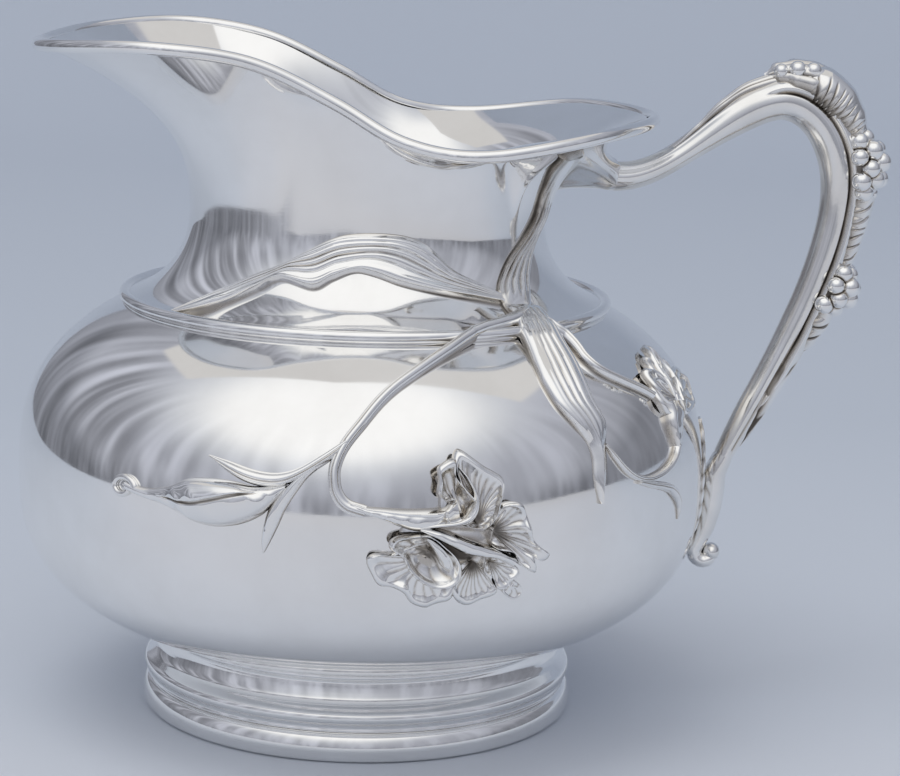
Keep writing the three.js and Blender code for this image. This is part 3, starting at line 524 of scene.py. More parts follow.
# A closed body from a grid of top points and one of under points, rows along its length
def reliefBody(top, under):
    rows, columns = top.shape[:2]
    ring = np.concatenate([top, under[:, ::-1]], 1)
    faces = [tuple(f) for f in loopFaces(rows, 2 * columns, False, True)]
    last = (rows - 1) * 2 * columns
    for j in range(columns - 1):
        m = 2 * columns - 1 - j
        faces.append((j, j + 1, m - 1, m))
        faces.append((last + j, last + m, last + m - 1, last + j + 1))
    return ring.reshape(-1, 3), faces


# A casting between two edge lines on the body's skin, each of [degrees from the handle, rise] points
def railedGrid(side, near, far, rows, columns, height):
    t = np.linspace(0, 1, rows)
    a = np.linspace(-1, 1, columns)
    first, second = throughPoints(near, t), throughPoints(far, t)
    f = (a[None, :, None] + 1) / 2
    place = mixed(first[:, None], second[:, None], f)
    azimuth = side * np.radians(place[..., 0])
    z = levelAt(place[..., 1])
    tt, aa = np.meshgrid(t, a, indexing="ij")
    lift, tarnishAndShade = height(tt, aa)
    bridge = overCollar(z)
    top = skin(azimuth, z, lift + bridge)
    under = skin(azimuth, z, np.minimum(-0.35 + 0 * lift, lift + bridge - 0.4) + 0.5 * bridge)
    # painted shade: the under surface, seen only where the casting meets the body, gets a fixed darkness of 0.6
    return top, under, np.concatenate([tarnishAndShade, tarnishAndShade[:, ::-1] * 0 + 0.6], 1)


def sidesOf(label):
    return -1 if label == "left" else 1


def railedBody(side, spec, height):
    top, under, tarnishAndShade = railedGrid(side, spec["near"], spec["far"], spec["rows"], spec["columns"], height)
    points, faces = reliefBody(top, under)
    return points, faces, tarnishAndShade


def railedPiece(name, spec, label, node, height):
    points, faces, tarnishAndShade = railedBody(sidesOf(label), spec, height)
    return addPiece(f"{name}_{label}", points, faces, castSilver, [f"{node}_{label}"], tarnishAndShade, sharp=70)


def ribs(a, number, sharpness=1.0):  # rounded ribs with narrow grooves between them
    wave = np.abs(np.sin(number * np.pi * (a + 1) / 2))
    return wave ** (0.5 / sharpness)


def leafRibs(t, a, number, deep):  # ribs of uneven width and depth that wander along the leaf
    place = number * (a + 1) / 2 + 0.3 * np.sin(2.3 * a + 3.1 * t) + 0.12 * np.sin(9 * t + 4 * a)
    wave = np.abs(np.sin(np.pi * place)) ** 0.55
    return 1 - deep * (0.68 + 0.32 * np.sin(4.7 * a + 1.3 + 2.2 * t)) * (1 - wave)


def edgeFall(a, power=4):  # full inside, down to the skin at both edges
    return np.sqrt(np.clip(1 - np.abs(a) ** power, 0, 1))


# Stalk strap: fluted band from under the rim down to the knot on the collar
strap = {
    "near": [(37.8, 193), (31.3, 172), (24, 145), (23.5, 118), (31.3, 94.7), (40.5, 74.6), (46.2, 57.6), (50, 41.7),
             (51.2, 28), (51.4, 12)],
    "far": [(29, 197), (13.5, 173), (9.5, 152), (9.5, 130), (13.8, 113), (21.5, 95.8), (28, 74.6), (33.2, 54.4),
            (38, 33.3), (41, 22), (43, 10)],
    "rows": 150, "columns": 41, "relief": 2.3, "flutes": 5}


def strapHeight(t, a):
    crest = ribs(a + 0.14 * np.sin(3 * t) + 0.05 * np.sin(11 * t + 3 * a), strap["flutes"])
    deep = 0.8 * eased((t - 0.1) / 0.35) * (1 - eased((t - 0.84) / 0.08))
    lift = strap["relief"] * edgeFall(a, 4) * (1 - deep * 0.4 * (1 - crest)) * (1 - 0.9 * eased((t - 0.86) / 0.14))
    # darkness: painted shade over the left half, patina and painted shade in the flute grooves, painted shadow where
    # the strap comes down to the skin
    shade = 0.42 * eased((-a - 0.3) * 2) * (1 - 0.6 * t)
    return lift, np.clip(deep * (1 - crest) ** 1.6 + 0.7 * np.exp(-lift / 0.5) + shade, 0, 1)


# Long leaf: arched, with six ribs and a rolled lower border
longLeaf = {
    "near": [(50.4, 36.4), (55.5, 48.1), (63.2, 64), (71, 92), (78.8, 103.5), (89.2, 106), (98, 102), (107, 86.2),
             (114.5, 68.2), (122.2, 54.4), (131, 36.4), (137.6, 18.3), (140.6, 4)],
    "far": [(50.8, 26), (58.5, 32.3), (68.8, 39.7), (80, 49.3), (87.8, 58.8), (93, 62), (99.2, 53.5), (105, 43),
            (115, 49), (121, 36.6), (128, 21.7), (135, 9), (140.9, 1)],
    "rows": 220, "columns": 61, "relief": 2.2, "ribs": 6}


def longLeafHeight(t, a):
    body01 = (a + 1) / 2
    crest = leafRibs(t, a, longLeaf["ribs"], 0.9)
    border = np.exp(-((body01 - 0.87 + 0.02 * np.sin(8 * t)) / 0.1) ** 2)
    swell = run([0.7, 0.85, 1.0, 1.1, 1.1, 1.0, 0.8, 0.25], t)
    plain = longLeaf["relief"] * swell * edgeFall(a, 6)
    lift = plain * (0.6 + 0.4 * crest * (1 - border)) + 1.35 * border * swell
    # darkness: patina and painted shade in the grooves between the ribs, painted shadow where the leaf comes down to
    # the skin
    return lift, np.clip(0.8 * (1 - crest) ** 1.5 * (1 - border) + 0.75 * np.exp(-lift / 0.45), 0, 1)


# Hanging leaf: six ribs that narrow to a folded tip
hangingLeaf = {
    "near": [(50.2, 30), (51.6, 12), (53.4, 0.5), (54.4, -6), (55.4, -13), (56, -20.5), (55.4, -31), (53.2, -41.6),
             (51.4, -50), (51, -58), (51.2, -68), (50.4, -82)],
    "far": [(39.6, 26), (42, 8), (43.2, -1.5), (44.2, -6.5), (45, -14.3), (46.2, -23), (47, -31.8), (46.6, -39),
            (46.6, -45), (47.6, -56), (48.2, -67), (49.7, -82)],
    "rows": 180, "columns": 51, "relief": 2.7, "ribs": 6}


def hangingLeafHeight(t, a):
    crest = mixed(1, leafRibs(t, a, hangingLeaf["ribs"], 0.9), eased((t - 0.07) / 0.2))
    border = np.exp(-((a + 0.78) / 0.16) ** 2) * eased((t - 0.06) / 0.1)
    fold = eased((t - 0.62) / 0.12)
    plain = hangingLeaf["relief"] * edgeFall(a, 6) * run([0.1, 0.95, 1.05, 1, 0.95, 0.9, 0.85, 0.5], t)
    ribbed = plain * (0.6 + 0.4 * crest * (1 - border) + 0.35 * border)
    keel = hangingLeaf["relief"] * (1.15 - 0.55 * t) * np.clip(1 - np.abs(a + 0.1), 0, 1) ** 0.8
    lift = mixed(ribbed, keel, fold)
    # darkness: patina and painted shade in the grooves between the ribs, painted shadow where the leaf comes down to
    # the skin
    dark = 0.8 * (1 - crest) ** 1.5 * (1 - fold) * (1 - border)
    return np.maximum(lift, 0), np.clip(dark + 0.75 * np.exp(-lift / 0.45), 0, 1)


# Curl leaf and sickle leaf at the fork of the stem
curlLeaf = {
    "near": [(92.6, -43.5), (96.2, -50.9), (100, -58.2), (103, -60.7), (106.2, -60.2), (110.5, -57.1), (113.9, -55.2)],
    "far": [(92.2, -46.8), (95.3, -54.6), (99.8, -64), (103, -68.2), (106.8, -67.4), (110.4, -63), (114, -56.2)],
    "rows": 90, "columns": 31, "relief": 3.0}


def curlLeafHeight(t, a):
    keel = np.exp(-((a - 0.25) / 0.14) ** 2)
    lift = curlLeaf["relief"] * edgeFall(a, 2.4) * run([0.9, 1, 1, 0.9, 0.45], t) * (1 - 0.16 * keel)
    # darkness: painted shade along the keel, painted shadow where the leaf comes down to the skin
    return lift, np.clip(0.35 * keel + 0.7 * np.exp(-lift / 0.4), 0, 1)


sickleLeaf = {
    "near": [(95, -53.2), (97.8, -61), (99.7, -70), (101.2, -78.8), (102.2, -87.1), (103.4, -96), (104.3, -102)],
    "far": [(96.6, -56.2), (100, -63.4), (102.1, -70.4), (103.6, -77.6), (104.4, -86), (104.8, -95), (104.6, -102.6)],
    "rows": 90, "columns": 27, "relief": 2.3}


def sickleLeafHeight(t, a):
    lift = sickleLeaf["relief"] * edgeFall(a, 2) * run([1, 1, 0.95, 0.75, 0.3], t)
    # darkness: painted shade along both edges and painted shadow where the leaf comes down to the skin
    rim = 0.6 * eased((np.abs(a) - 0.8) / 0.15)
    return lift, np.clip(rim + 0.75 * np.exp(-lift / 0.4), 0, 1)


def outwardFaces(points, faces):  # turned round if the body is inside out
    p = np.asarray(points)
    volume = 0.0
    for f in faces:
        for k in range(1, len(f) - 1):
            volume += np.dot(p[f[0]], np.cross(p[f[k]], p[f[k + 1]]))
    return [tuple(reversed(f)) for f in faces] if volume < 0 else faces


def joinedPiece(name, bodies, nodes):
    points, faces, tarnishAndShade, start = [], [], [], 0
    for p, f, dark in bodies:
        faces += [tuple(int(i) + start for i in face) for face in outwardFaces(p, f)]
        points.append(np.asarray(p).reshape(-1, 3))
        tarnishAndShade.append(np.asarray(dark, float).ravel())
        start += len(points[-1])
    return addPiece(name, np.concatenate(points), faces, castSilver, nodes,
                    np.concatenate(tarnishAndShade), sharp=70)


def tubeAlong(points, radii, sides=20, steps=48):  # a round tube through points, with rounded ends
    p = np.asarray(points, float)
    t = np.linspace(0, 1, steps)
    line = throughPoints(p, t)
    near = np.minimum(t, 1 - t) / 0.06
    r = run(radii, t) * np.sqrt(np.clip(1 - np.clip(1 - near, 0, 1) ** 2, 0.02, 1))
    way = np.gradient(line, axis=0)
    way /= np.linalg.norm(way, axis=1)[:, None]
    one = np.cross(way, np.array([0.3, 0.2, 1.0]))
    one /= np.linalg.norm(one, axis=1)[:, None]
    two = np.cross(way, one)
    turn = np.arange(sides) / sides * 2 * math.pi
    rings = line[:, None] + r[:, None, None] * (np.cos(turn)[None, :, None] * one[:, None]
                                               + np.sin(turn)[None, :, None] * two[:, None])
    faces = [tuple(f) for f in loopFaces(steps, sides, False, True)]
    n, last = steps * sides, (steps - 1) * sides
    for j in range(sides):
        k = (j + 1) % sides
        faces.append((n, j, k))
        faces.append((n + 1, last + k, last + j))
    return np.concatenate([rings.reshape(-1, 3), line[[0, -1]]]), faces


# Closed bud: a full rounded body with an overlapping fold, then a thin neck
bud = {
    "near": [(101.2, -66.2), (104, -67.6), (106.5, -68), (110, -66.6), (113.5, -66.5), (117, -68), (120.2, -73),
             (123.2, -76), (126, -76.4), (128.6, -74.8)],
    "far": [(101.4, -69), (103, -76.2), (105, -83), (108.3, -88.6), (111.8, -90.8), (114.8, -90.2), (117.8, -87),
            (120.8, -83.8), (124, -82.2), (128.4, -80)],
    "rows": 130, "columns": 61, "relief": 5.6}


def budHeight(t, a):
    full = bud["relief"] * run([0.3, 0.75, 1, 1.02, 0.95, 0.72, 0.4, 0.28, 0.26], t)
    dome = np.sqrt(np.clip(1 - np.abs(a) ** 2.3, 0, 1))
    crack = -0.28 + 0.16 * np.sin(4.5 * t - 1.2) - 0.1 * eased((t - 0.55) * 4)
    lap = eased((crack - a) / 0.1)
    reach = eased((t - 0.12) / 0.15) * (1 - eased((t - 0.72) / 0.1))
    lift = full * dome * (1 + reach * (0.13 * lap - 0.04))
    # darkness: painted shade in the crack between the lobes, across the lower lobe towards its edge, and where the bud
    # comes down to the skin
    seam = np.exp(-((a - crack - 0.05) / 0.055) ** 2) * reach
    rim = 0.7 * eased((a - 0.9) / 0.08) + 0.18 * eased((a - 0.55) / 0.3)
    return lift - 0.35 * seam, np.clip(0.9 * seam + rim + 0.75 * np.exp(-lift / 0.5), 0, 1)


# The bud's tip winds into a small flat curl
budCurl = {"centre": (129.2, -78.5), "reach": (2.6, 10.5), "turns": 1.35, "radius": [1.0, 0.9, 0.8, 0.6]}


def budCurlBody(side):
    line = []
    for k in range(15):
        f = k / 14
        turn = -0.3 + f * budCurl["turns"] * 2 * math.pi
        size = mixed(1.0, 0.22, f)
        place = (budCurl["centre"][0] - budCurl["reach"][0] * size * math.cos(turn),
                 budCurl["centre"][1] + budCurl["reach"][1] * 0.62 * size * math.sin(turn))
        azimuth = np.array(side * math.radians(place[0]))
        line.append(skin(azimuth, levelAt(np.array(place[1])), np.array(0.5)).tolist())
    points, faces = tubeAlong(line, budCurl["radius"], 14, 90)
    return points, faces, np.full(len(points), 0.12)


for label in ("left", "right"):
    railedPiece("stalkStrap", strap, label, "stalk_strap", strapHeight)
    railedPiece("longLeaf", longLeaf, label, "long_leaf", longLeafHeight)
    railedPiece("hangingLeaf", hangingLeaf, label, "hanging_leaf", hangingLeafHeight)
    railedPiece("curlLeaf", curlLeaf, label, "curl_leaf", curlLeafHeight)
    railedPiece("sickleLeaf", sickleLeaf, label, "sickle_leaf", sickleLeafHeight)
    joinedPiece(f"budAndCurl_{label}", [railedBody(sidesOf(label), bud, budHeight), budCurlBody(sidesOf(label))], [f"bud_{label}"])
print("leaves and buds made")


# A stem laid along a middle line: half width and relief run along its length
def stemGrid(side, spec):
    t = np.linspace(0, 1, spec["rows"])
    a = np.linspace(-1, 1, spec["columns"])
    line = throughPoints(spec["line"], t)
    z = levelAt(line[:, 1])
    azimuth = np.radians(line[:, 0])
    r = castRadius(azimuth, z)
    slope = np.hypot(1, castRadius(azimuth, z + 0.5) - castRadius(azimuth, z - 0.5))
    dx, dy = np.gradient(azimuth) * r, np.gradient(z) * slope
    size = np.hypot(dx, dy)
    offset = run(spec["half"], t)[:, None] * a[None]
    place = azimuth[:, None] - (dy / size / r)[:, None] * offset
    level = z[:, None] + (dx / size / slope)[:, None] * offset
    tt, aa = np.meshgrid(t, a, indexing="ij")
    groove = np.exp(-((aa - spec.get("groove", 9)) / 0.12) ** 2)
    lift = run(spec["relief"], tt) * edgeFall(aa, 2.2) * (1 - 0.16 * groove) + overCollar(level)
    top = skin(side * place, level, lift)
    under = skin(side * place, level, np.minimum(-0.35, lift - 0.4) + 0.5 * overCollar(level))
    # darkness: painted shadow where the stem comes down to the skin, patina and painted shade in its groove, and a
    # fixed 0.6 on the under surface as painted shade at the contact
    dark = np.clip(0.75 * np.exp(-(lift - overCollar(level)) / 0.45) + 0.5 * groove, 0, 1)
    return top, under, np.concatenate([dark, dark[:, ::-1] * 0 + 0.6], 1)


def stemPiece(name, spec, label, node):
    top, under, tarnishAndShade = stemGrid(sidesOf(label), spec)
    points, faces = reliefBody(top, under)
    return addPiece(f"{name}_{label}", points, faces, castSilver, [f"{node}_{label}"], tarnishAndShade, sharp=70)


flowerStem = {
    "line": [(47.6, 14), (52, 9.5), (57, 6.2), (61.8, 3.4), (66, -0.4), (69.4, -3), (77.2, -10.1), (83.5, -18.4),
             (87.2, -26.1), (90.5, -37), (92.8, -46.3), (94, -55.6), (94.1, -62.8), (93.5, -70), (92, -75.4),
             (89.4, -78.2)],
    "half": [2.2, 1.7, 1.5, 1.5, 1.5, 1.5, 1.6, 1.7], "relief": [2.8, 2.6, 2.5, 2.5, 2.5, 2.5, 2.6, 2.8],
    "groove": 0.35, "rows": 220, "columns": 21}
backStalk = {
    "line": [(45.4, 4), (44.2, 0.4), (43.2, -2.4), (42, -4.6), (41.6, -9), (41.8, -13.6), (40.4, -19.4), (36.6, -25.6),
             (32.6, -31.4), (29.4, -37)],
    "half": [2.0, 1.7, 1.5, 1.4, 1.3, 1.2], "relief": [2.6, 2.4, 2.2, 2.1, 2.0], "groove": 0.3,
    "rows": 120, "columns": 19}
backStem = {
    "line": [(47.6, -52.5), (45.2, -63), (42.6, -70.4), (39, -74.4), (34.6, -74), (30.6, -70.2), (28.2, -64.6),
             (27.6, -59.4)],
    "half": [0.4, 0.75, 0.9, 0.95, 0.95, 0.95, 1.0], "relief": [0.9, 1.5, 1.8, 1.9, 1.9, 1.9], "groove": 0.2,
    "rows": 110, "columns": 19}
backLeaf = {
    "line": [(41, -75.2), (37.4, -78.4), (35, -80.4), (31.6, -84.2), (28.6, -91.7), (27.6, -99), (27.8, -104)],
    "half": [0.5, 1.0, 1.25, 1.5, 1.4, 0.9, 0.2], "relief": [1.6, 1.9, 2.0, 1.9, 1.6, 1.0, 0.3], "groove": 0.0,
    "rows": 90, "columns": 19}
for label in ("left", "right"):
    stemPiece("flowerStem", flowerStem, label, "flower_stem")
    stemPiece("backStalk", backStalk, label, "back_stalk")
    stemPiece("backStem", backStem, label, "back_stem")
    stemPiece("backLeaf", backLeaf, label, "back_leaf")
print("stems made")


# A petal fanned from its base to an outline on the skin, with veins, a rolled rim and a ruffle
def petalGrid(side, spec, around=96, rings=26):
    turn = np.arange(around) / around
    edge = closedThrough(spec["outline"], turn)
    base = np.asarray(spec["base"], float)
    share = np.linspace(0, 1, rings + 1)[1:]
    place = base + share[None, :, None] * (edge[:, None] - base)
    f = np.repeat(share[None], around, 0)
    ray = np.repeat(turn[:, None], rings, 1)
    roll = np.exp(-((f - 0.9) / 0.075) ** 2)
    vein = np.abs(np.sin(spec["veins"] * math.pi * ray + 0.5 * np.sin(9 * f + 5 * ray))) ** 0.6
    inside = eased((f - 0.12) / 0.25) * (1 - eased((f - 0.8) / 0.08))
    ruffle = spec["ruffle"] * f ** 2 * np.cos(2 * math.pi * spec["waves"] * ray + spec.get("phase", 0))
    lift = mixed(spec["lift"][0], spec["lift"][1], f ** 1.3) - spec["dish"] * np.sin(math.pi * np.clip(f / 0.9, 0, 1))
    lift = lift + spec["roll"] * roll + 0.24 * inside * (vein - 0.7) + ruffle
    lift = lift - 0.5 * spec["roll"] * eased((f - 0.93) / 0.07)
    lift = np.maximum(lift, 0.25)
    under = np.maximum(lift - spec.get("sheet", 1.3), -0.3)
    azimuth, z = side * np.radians(place[..., 0]), levelAt(place[..., 1])
    middle = float(lift[:, 0].mean())
    b = (np.array([side * math.radians(base[0])]), levelAt(np.array([base[1]])))
    poles = [skin(b[0], b[1], np.array([middle]))[0], skin(b[0], b[1], np.array([max(-0.3, middle - 1.3)]))[0]]
    # darkness: patina and painted shade between the veins and in the dish, painted shade towards the petal's base by
    # its dark value, painted shadow at the outline where the petal meets the skin
    dark = np.clip(0.55 * inside * (1 - vein) ** 1.3 + 0.08 * spec["dish"] * np.sin(math.pi * f) * (1 - roll)
                   + spec.get("dark", 0) * (1 - eased((f - 0.1) / 0.4)) + 0.45 * eased((f - 0.955) / 0.045), 0, 1)
    return skin(azimuth, z, lift), skin(azimuth, z, under), poles, dark


def petalBody(side, spec):
    top, under, poles, dark = petalGrid(side, spec)
    around, rings = top.shape[:2]
    line = np.concatenate([top, under[:, ::-1]], 1)
    points = np.concatenate([line.reshape(-1, 3), np.array(poles)])
    faces = [tuple(f) for f in loopFaces(around, 2 * rings, True, False)]
    n = around * 2 * rings
    for i in range(around):
        k = (i + 1) % around
        faces.append((n, k * 2 * rings, i * 2 * rings))
        faces.append((n + 1, i * 2 * rings + 2 * rings - 1, k * 2 * rings + 2 * rings - 1))
    # painted shade: the under surfaces and the two pole points are made dark
    tarnishAndShade = np.concatenate([np.concatenate([dark, np.linspace(0.4, 0.8, rings)[None] + 0 * dark], 1).ravel(), [0.9, 0.9]])
    return points, faces, tarnishAndShade


irisPetals = [
    # low mass that the petals rise from, under the falls and under the standard; its dark value paints the shade there
    {"base": (75.5, -96), "lift": (3.0, 0.6), "dish": 0, "roll": 0, "veins": 0, "ruffle": 0.2, "waves": 5, "sheet": 4,
     "dark": 0.9, "outline": [
         (84, -87), (79, -81), (73, -80), (67.5, -84), (65.5, -95), (67.5, -107), (71.5, -115), (77, -114), (82.5, -106)]},
    {"base": (73.8, -70), "lift": (2.6, 1.2), "dish": 0, "roll": 0, "veins": 0, "ruffle": 0.1, "waves": 3, "sheet": 4,
     "dark": 0.7, "outline": [
         (77.5, -80), (78, -66), (76.4, -56), (73, -57), (70.2, -63), (70, -74), (71.5, -84)]},
    {"base": (73.2, -83.5), "lift": (5.2, 4.4), "dish": 1.7, "roll": 1.1, "veins": 22, "ruffle": 0.35, "waves": 4,
     "dark": 0.8, "outline": [
         (74.8, -84), (73.5, -77.3), (73.5, -72.1), (75, -66.4), (76.2, -60.2), (76.5, -53.5), (76, -49.4),
         (75.2, -49.4), (73.2, -54), (72, -56.6), (70.2, -59.7), (69, -62.8), (69, -67.5), (69.5, -73.7),
         (70, -79.9), (71.8, -85.5)]},
    {"base": (75.4, -78), "lift": (4.0, 5.4), "dish": 1.9, "roll": 1.0, "veins": 9, "ruffle": 0.3, "waves": 3,
     "dark": 0.2, "outline": [
         (73.5, -72.6), (75, -66.4), (76.5, -60.2), (76.5, -54), (77.2, -53.5), (78.5, -55.6), (79, -57.6),
         (78.8, -62.3), (79, -67.5), (78.2, -71.1), (76.8, -70.6), (77.5, -75.2), (78, -77.5), (77.5, -82.4),
         (75.2, -83.5), (73.5, -79.3)]},
    {"base": (70.8, -87.6), "lift": (4.6, 3.4), "dish": 1.8, "roll": 0.9, "veins": 18, "ruffle": 0.8, "waves": 6,
     "dark": 0.9, "outline": [
         (70.5, -81.9), (69, -75.7), (67.2, -74.2), (65.8, -76.2), (64.8, -81.4), (64.5, -87.1), (64, -92.3),
         (62.8, -97.9), (61.3, -102.6), (62, -106.7), (63.5, -104.1), (63.5, -111.4), (65.5, -107.7), (67.2, -100.5),
         (69.8, -97.9), (70.8, -93.8)]},
    {"base": (73.5, -103.1), "lift": (3.8, 2.2), "dish": 0.9, "roll": 0.55, "veins": 15, "ruffle": 0.35, "waves": 5,
     "dark": 0.8, "outline": [
         (75.2, -104.6), (76, -113.9), (76.2, -119.6), (75.2, -124.8), (74, -126.9), (72.8, -125.8), (71.5, -124.8),
         (70, -122.7), (69, -120.1), (70, -115), (70.2, -110.8), (72, -105.2)]},
    {"base": (71, -104), "lift": (4.2, 2.8), "dish": 1.0, "roll": 0.7, "veins": 12, "ruffle": 0.5, "waves": 4,
     "dark": 0.7, "outline": [
         (71.8, -108.3), (70.2, -112.9), (69.2, -118.6), (67.5, -118.6), (67, -115.5), (65.8, -110.8), (66.8, -106.7),
         (69.5, -101.5), (71.2, -100.5)]},
    {"base": (66.6, -119), "lift": (1.8, 1.3), "dish": 0.3, "roll": 0.3, "veins": 5, "ruffle": 0.1, "waves": 3,
     "sheet": 2.2, "outline": [
         (68, -121.2), (66.8, -125.3), (65.5, -126.9), (64.5, -123.8), (64.8, -120.1), (65.8, -117), (67, -116)]},
    {"base": (80.4, -100.5), "lift": (2.6, 2.0), "dish": 0.5, "roll": 0.7, "veins": 14, "ruffle": 0.5, "waves": 7,
     "dark": 0.4, "outline": [
         (83.5, -95.4), (85.5, -99.5), (88.2, -99.5), (89, -103.6), (88.2, -109.8), (87, -115.5), (85, -117),
         (83.5, -119.1), (82.2, -125.3), (80.5, -126.9), (79, -126.9), (77.5, -124.8), (76, -122.2), (75, -114.5),
         (76.5, -104.1), (79.8, -93.3)]},
    {"base": (80.2, -97), "lift": (3.2, 4.6), "dish": 1.5, "roll": 1.3, "veins": 10, "ruffle": 0.15, "waves": 3,
     "dark": 0.7, "outline": [
         (80.8, -87.6), (83.8, -88.6), (85.5, -90.7), (85.8, -94.8), (84, -99.5), (83, -106.2), (81.2, -112.4),
         (79, -116), (77, -116), (75.5, -112.4), (75.2, -106.2), (76, -100), (77.8, -93.8), (79.2, -89.7)]},
]
irisBands = [
    # trumpet that the stem opens into
    {"near": [(91.4, -73.4), (90.2, -74.4), (89, -75.7), (86.5, -76.2), (83.5, -76.8), (80.8, -76.8), (78, -76.2),
              (76.8, -73.1), (76.2, -70.6)],
     "far": [(91.8, -75.6), (90.8, -77.3), (89, -79.3), (87, -81.4), (85, -84), (82.8, -86.6), (81, -87.1),
             (78.5, -84.5), (75.5, -82.4)],
     "relief": [2.4, 2.8, 3.6, 4.4, 4.8, 5.2, 5.2, 4.6, 4.0], "lip": 0.8, "power": 2.6},
    # smooth band between the standard and the falls
    {"near": [(81.2, -83.5), (78.8, -81.9), (76, -80.4), (74.8, -77.8), (74, -71), (74.8, -64), (76, -57.5)],
     "far": [(81, -85.5), (78.5, -85), (75.5, -83.8), (73.6, -80.5), (73, -73.7), (73.8, -65.5), (75.6, -57)],
     "relief": [5.0, 6.6, 7.2, 7.2, 7.0, 6.6, 5.4], "lip": 0.0, "power": 2.2},
    # tongue that lies across the heart
    {"near": [(81.5, -84.5), (79, -85.5), (76.8, -87.6), (74.5, -90.7), (72.2, -93.8), (69.5, -97.9), (66.8, -102.6)],
     "far": [(81.5, -86.6), (79.5, -90), (77.2, -94.3), (74.8, -99), (72.2, -101), (70, -102.6), (67.5, -107.2)],
     "relief": [5.2, 6.4, 7.0, 6.9, 6.4, 5.8, 5.0], "lip": 0.0, "power": 2.6},
    # folded strip inside the left petal
    {"near": [(80.4, -89.7), (79.2, -91.7), (77.5, -96.9), (76.3, -103.1), (76.4, -108.3)],
     "far": [(80.5, -91.5), (79.9, -95), (79, -100), (78.2, -105.2), (77, -109.5)],
     "relief": [4.6, 5.0, 4.8, 4.2, 3.4], "lip": 0.5, "power": 2.4},
]


def bandBody(side, spec, rows=90, columns=27):
    def height(t, a):
        lip = np.exp(-((a + 0.72) / 0.16) ** 2)
        lift = run(spec["relief"], t) * (0.35 + 0.65 * edgeFall(a, spec["power"])) + spec["lip"] * lip
        # darkness: painted shadow along the band's edges where it meets the skin
        return lift, np.clip(0.5 * np.abs(a) ** 8, 0, 1)
    top, under, tarnishAndShade = railedGrid(side, spec["near"], spec["far"], rows, columns, height)
    points, faces = reliefBody(top, under)
    return points, faces, tarnishAndShade


for label in ("left", "right"):
    side = sidesOf(label)
    bodies = [petalBody(side, petal) for petal in irisPetals] + [bandBody(side, band) for band in irisBands]
    joinedPiece(f"irisFlower_{label}", bodies, [f"iris_flower_{label}"])
print("iris flowers made")

# Back flower: a cup and a fan of small overlapping petals; the right one hangs lower
backFlower = {
    "cup": {"near": [(28.5, -63.5), (28.8, -57), (29, -50), (28.6, -45), (28.8, -41)],
            "far": [(26.9, -64), (25.4, -57.6), (23.6, -52.4), (20.6, -48.6), (17.6, -46)],
            "relief": [1.9, 2.2, 2.7, 3.1, 3.0], "lip": 0.5, "power": 2.2},
    "tips": {"left": [(30, -33, 4.6), (29.4, -26, 4.0), (24.4, -20.6, 3.8), (19.6, -17.4, 3.6), (17.4, -24, 3.8),
                      (12.6, -35.4, 4.6)],
             "right": [(31, -41, 4.4), (29.6, -38, 4.0), (26, -36, 3.8), (23.4, -38, 3.8), (20.4, -45, 4.2)]},
    "lift": 2.6}


def leafletOutline(base, tip, half):  # a pointed oval from base to tip, half its width in millimetres
    b, e = np.asarray(base, float), np.asarray(tip, float)
    perDegree = 88 * math.pi / 180
    scale = np.array([perDegree, shoulder / 100])
    d = (e - b) * scale
    d /= np.linalg.norm(d)
    n = np.array([-d[1], d[0]])
    out = []
    for s, w in ((0, 0.45), (0.3, 0.85), (0.6, 1), (0.85, 0.75), (1.0, 0.18)):
        out.append(b + (e - b) * s + n * half * w / scale)
    for s, w in ((1.0, 0.18), (0.85, 0.75), (0.6, 1), (0.3, 0.85), (0, 0.45)):
        out.append(b + (e - b) * s - n * half * w / scale)
    return [tuple(p) for p in out]


for label in ("left", "right"):
    side = sidesOf(label)
    bodies = [bandBody(side, backFlower["cup"], 50, 23)]
    for k, (turn, rise, half) in enumerate(backFlower["tips"][label]):
        bodies.append(petalBody(side, {
            "base": (mixed(23.6, turn, 0.25), mixed(-46, rise, 0.25)),
            "lift": (backFlower["lift"] + 0.25 * (k % 2), 1.7 + 0.5 * (k % 2)), "dish": 0.6, "roll": 0.6, "veins": 8,
            "ruffle": 0.25, "waves": 5, "dark": 0.5, "outline": leafletOutline((23.6, -46), (turn, rise), half)}))
    joinedPiece(f"backFlower_{label}", bodies, [f"back_flower_{label}"])
print("back flowers made")


# Handle: middle line of three bends in the plane through the lip
handle = {
    "root": (0, 13.4, 5.8), "crest": (113.0, 6.1), "grip": (130.3, 23.5), "plate": 0.9, "gap": 0.35,
    "thick": [4.6, 3.6, 5.5, 5.5, 4.7, 4.15, 3.6, 2.5], "wide": [6.4, 6.3, 6.2, 6.2, 5.4, 4.92, 4.56, 4.2],
    "rows": 320, "sides": 168}
backZ = throatZ + 28.4
rootZ = backZ - handle["root"][1]
rootPoint = np.array([float(neckRadius(np.array(0.0), np.array(rootZ))) + handle["root"][2], rootZ])
crestPoint = np.array([handle["crest"][0], backZ + handle["crest"][1]])
gripPoint = np.array([handle["grip"][0], crestPoint[1] - handle["grip"][1]])
tailPoint = np.array([float(bowlRadius(np.array(body["bellyHeight"]))) + 0.9 + 0.7 + 2.5, body["bellyHeight"]])


def bent(p0, p1, p2, p3, u):
    u = u[:, None]
    return (1 - u) ** 3 * p0 + 3 * (1 - u) ** 2 * u * p1 + 3 * (1 - u) * u ** 2 * p2 + u ** 3 * p3


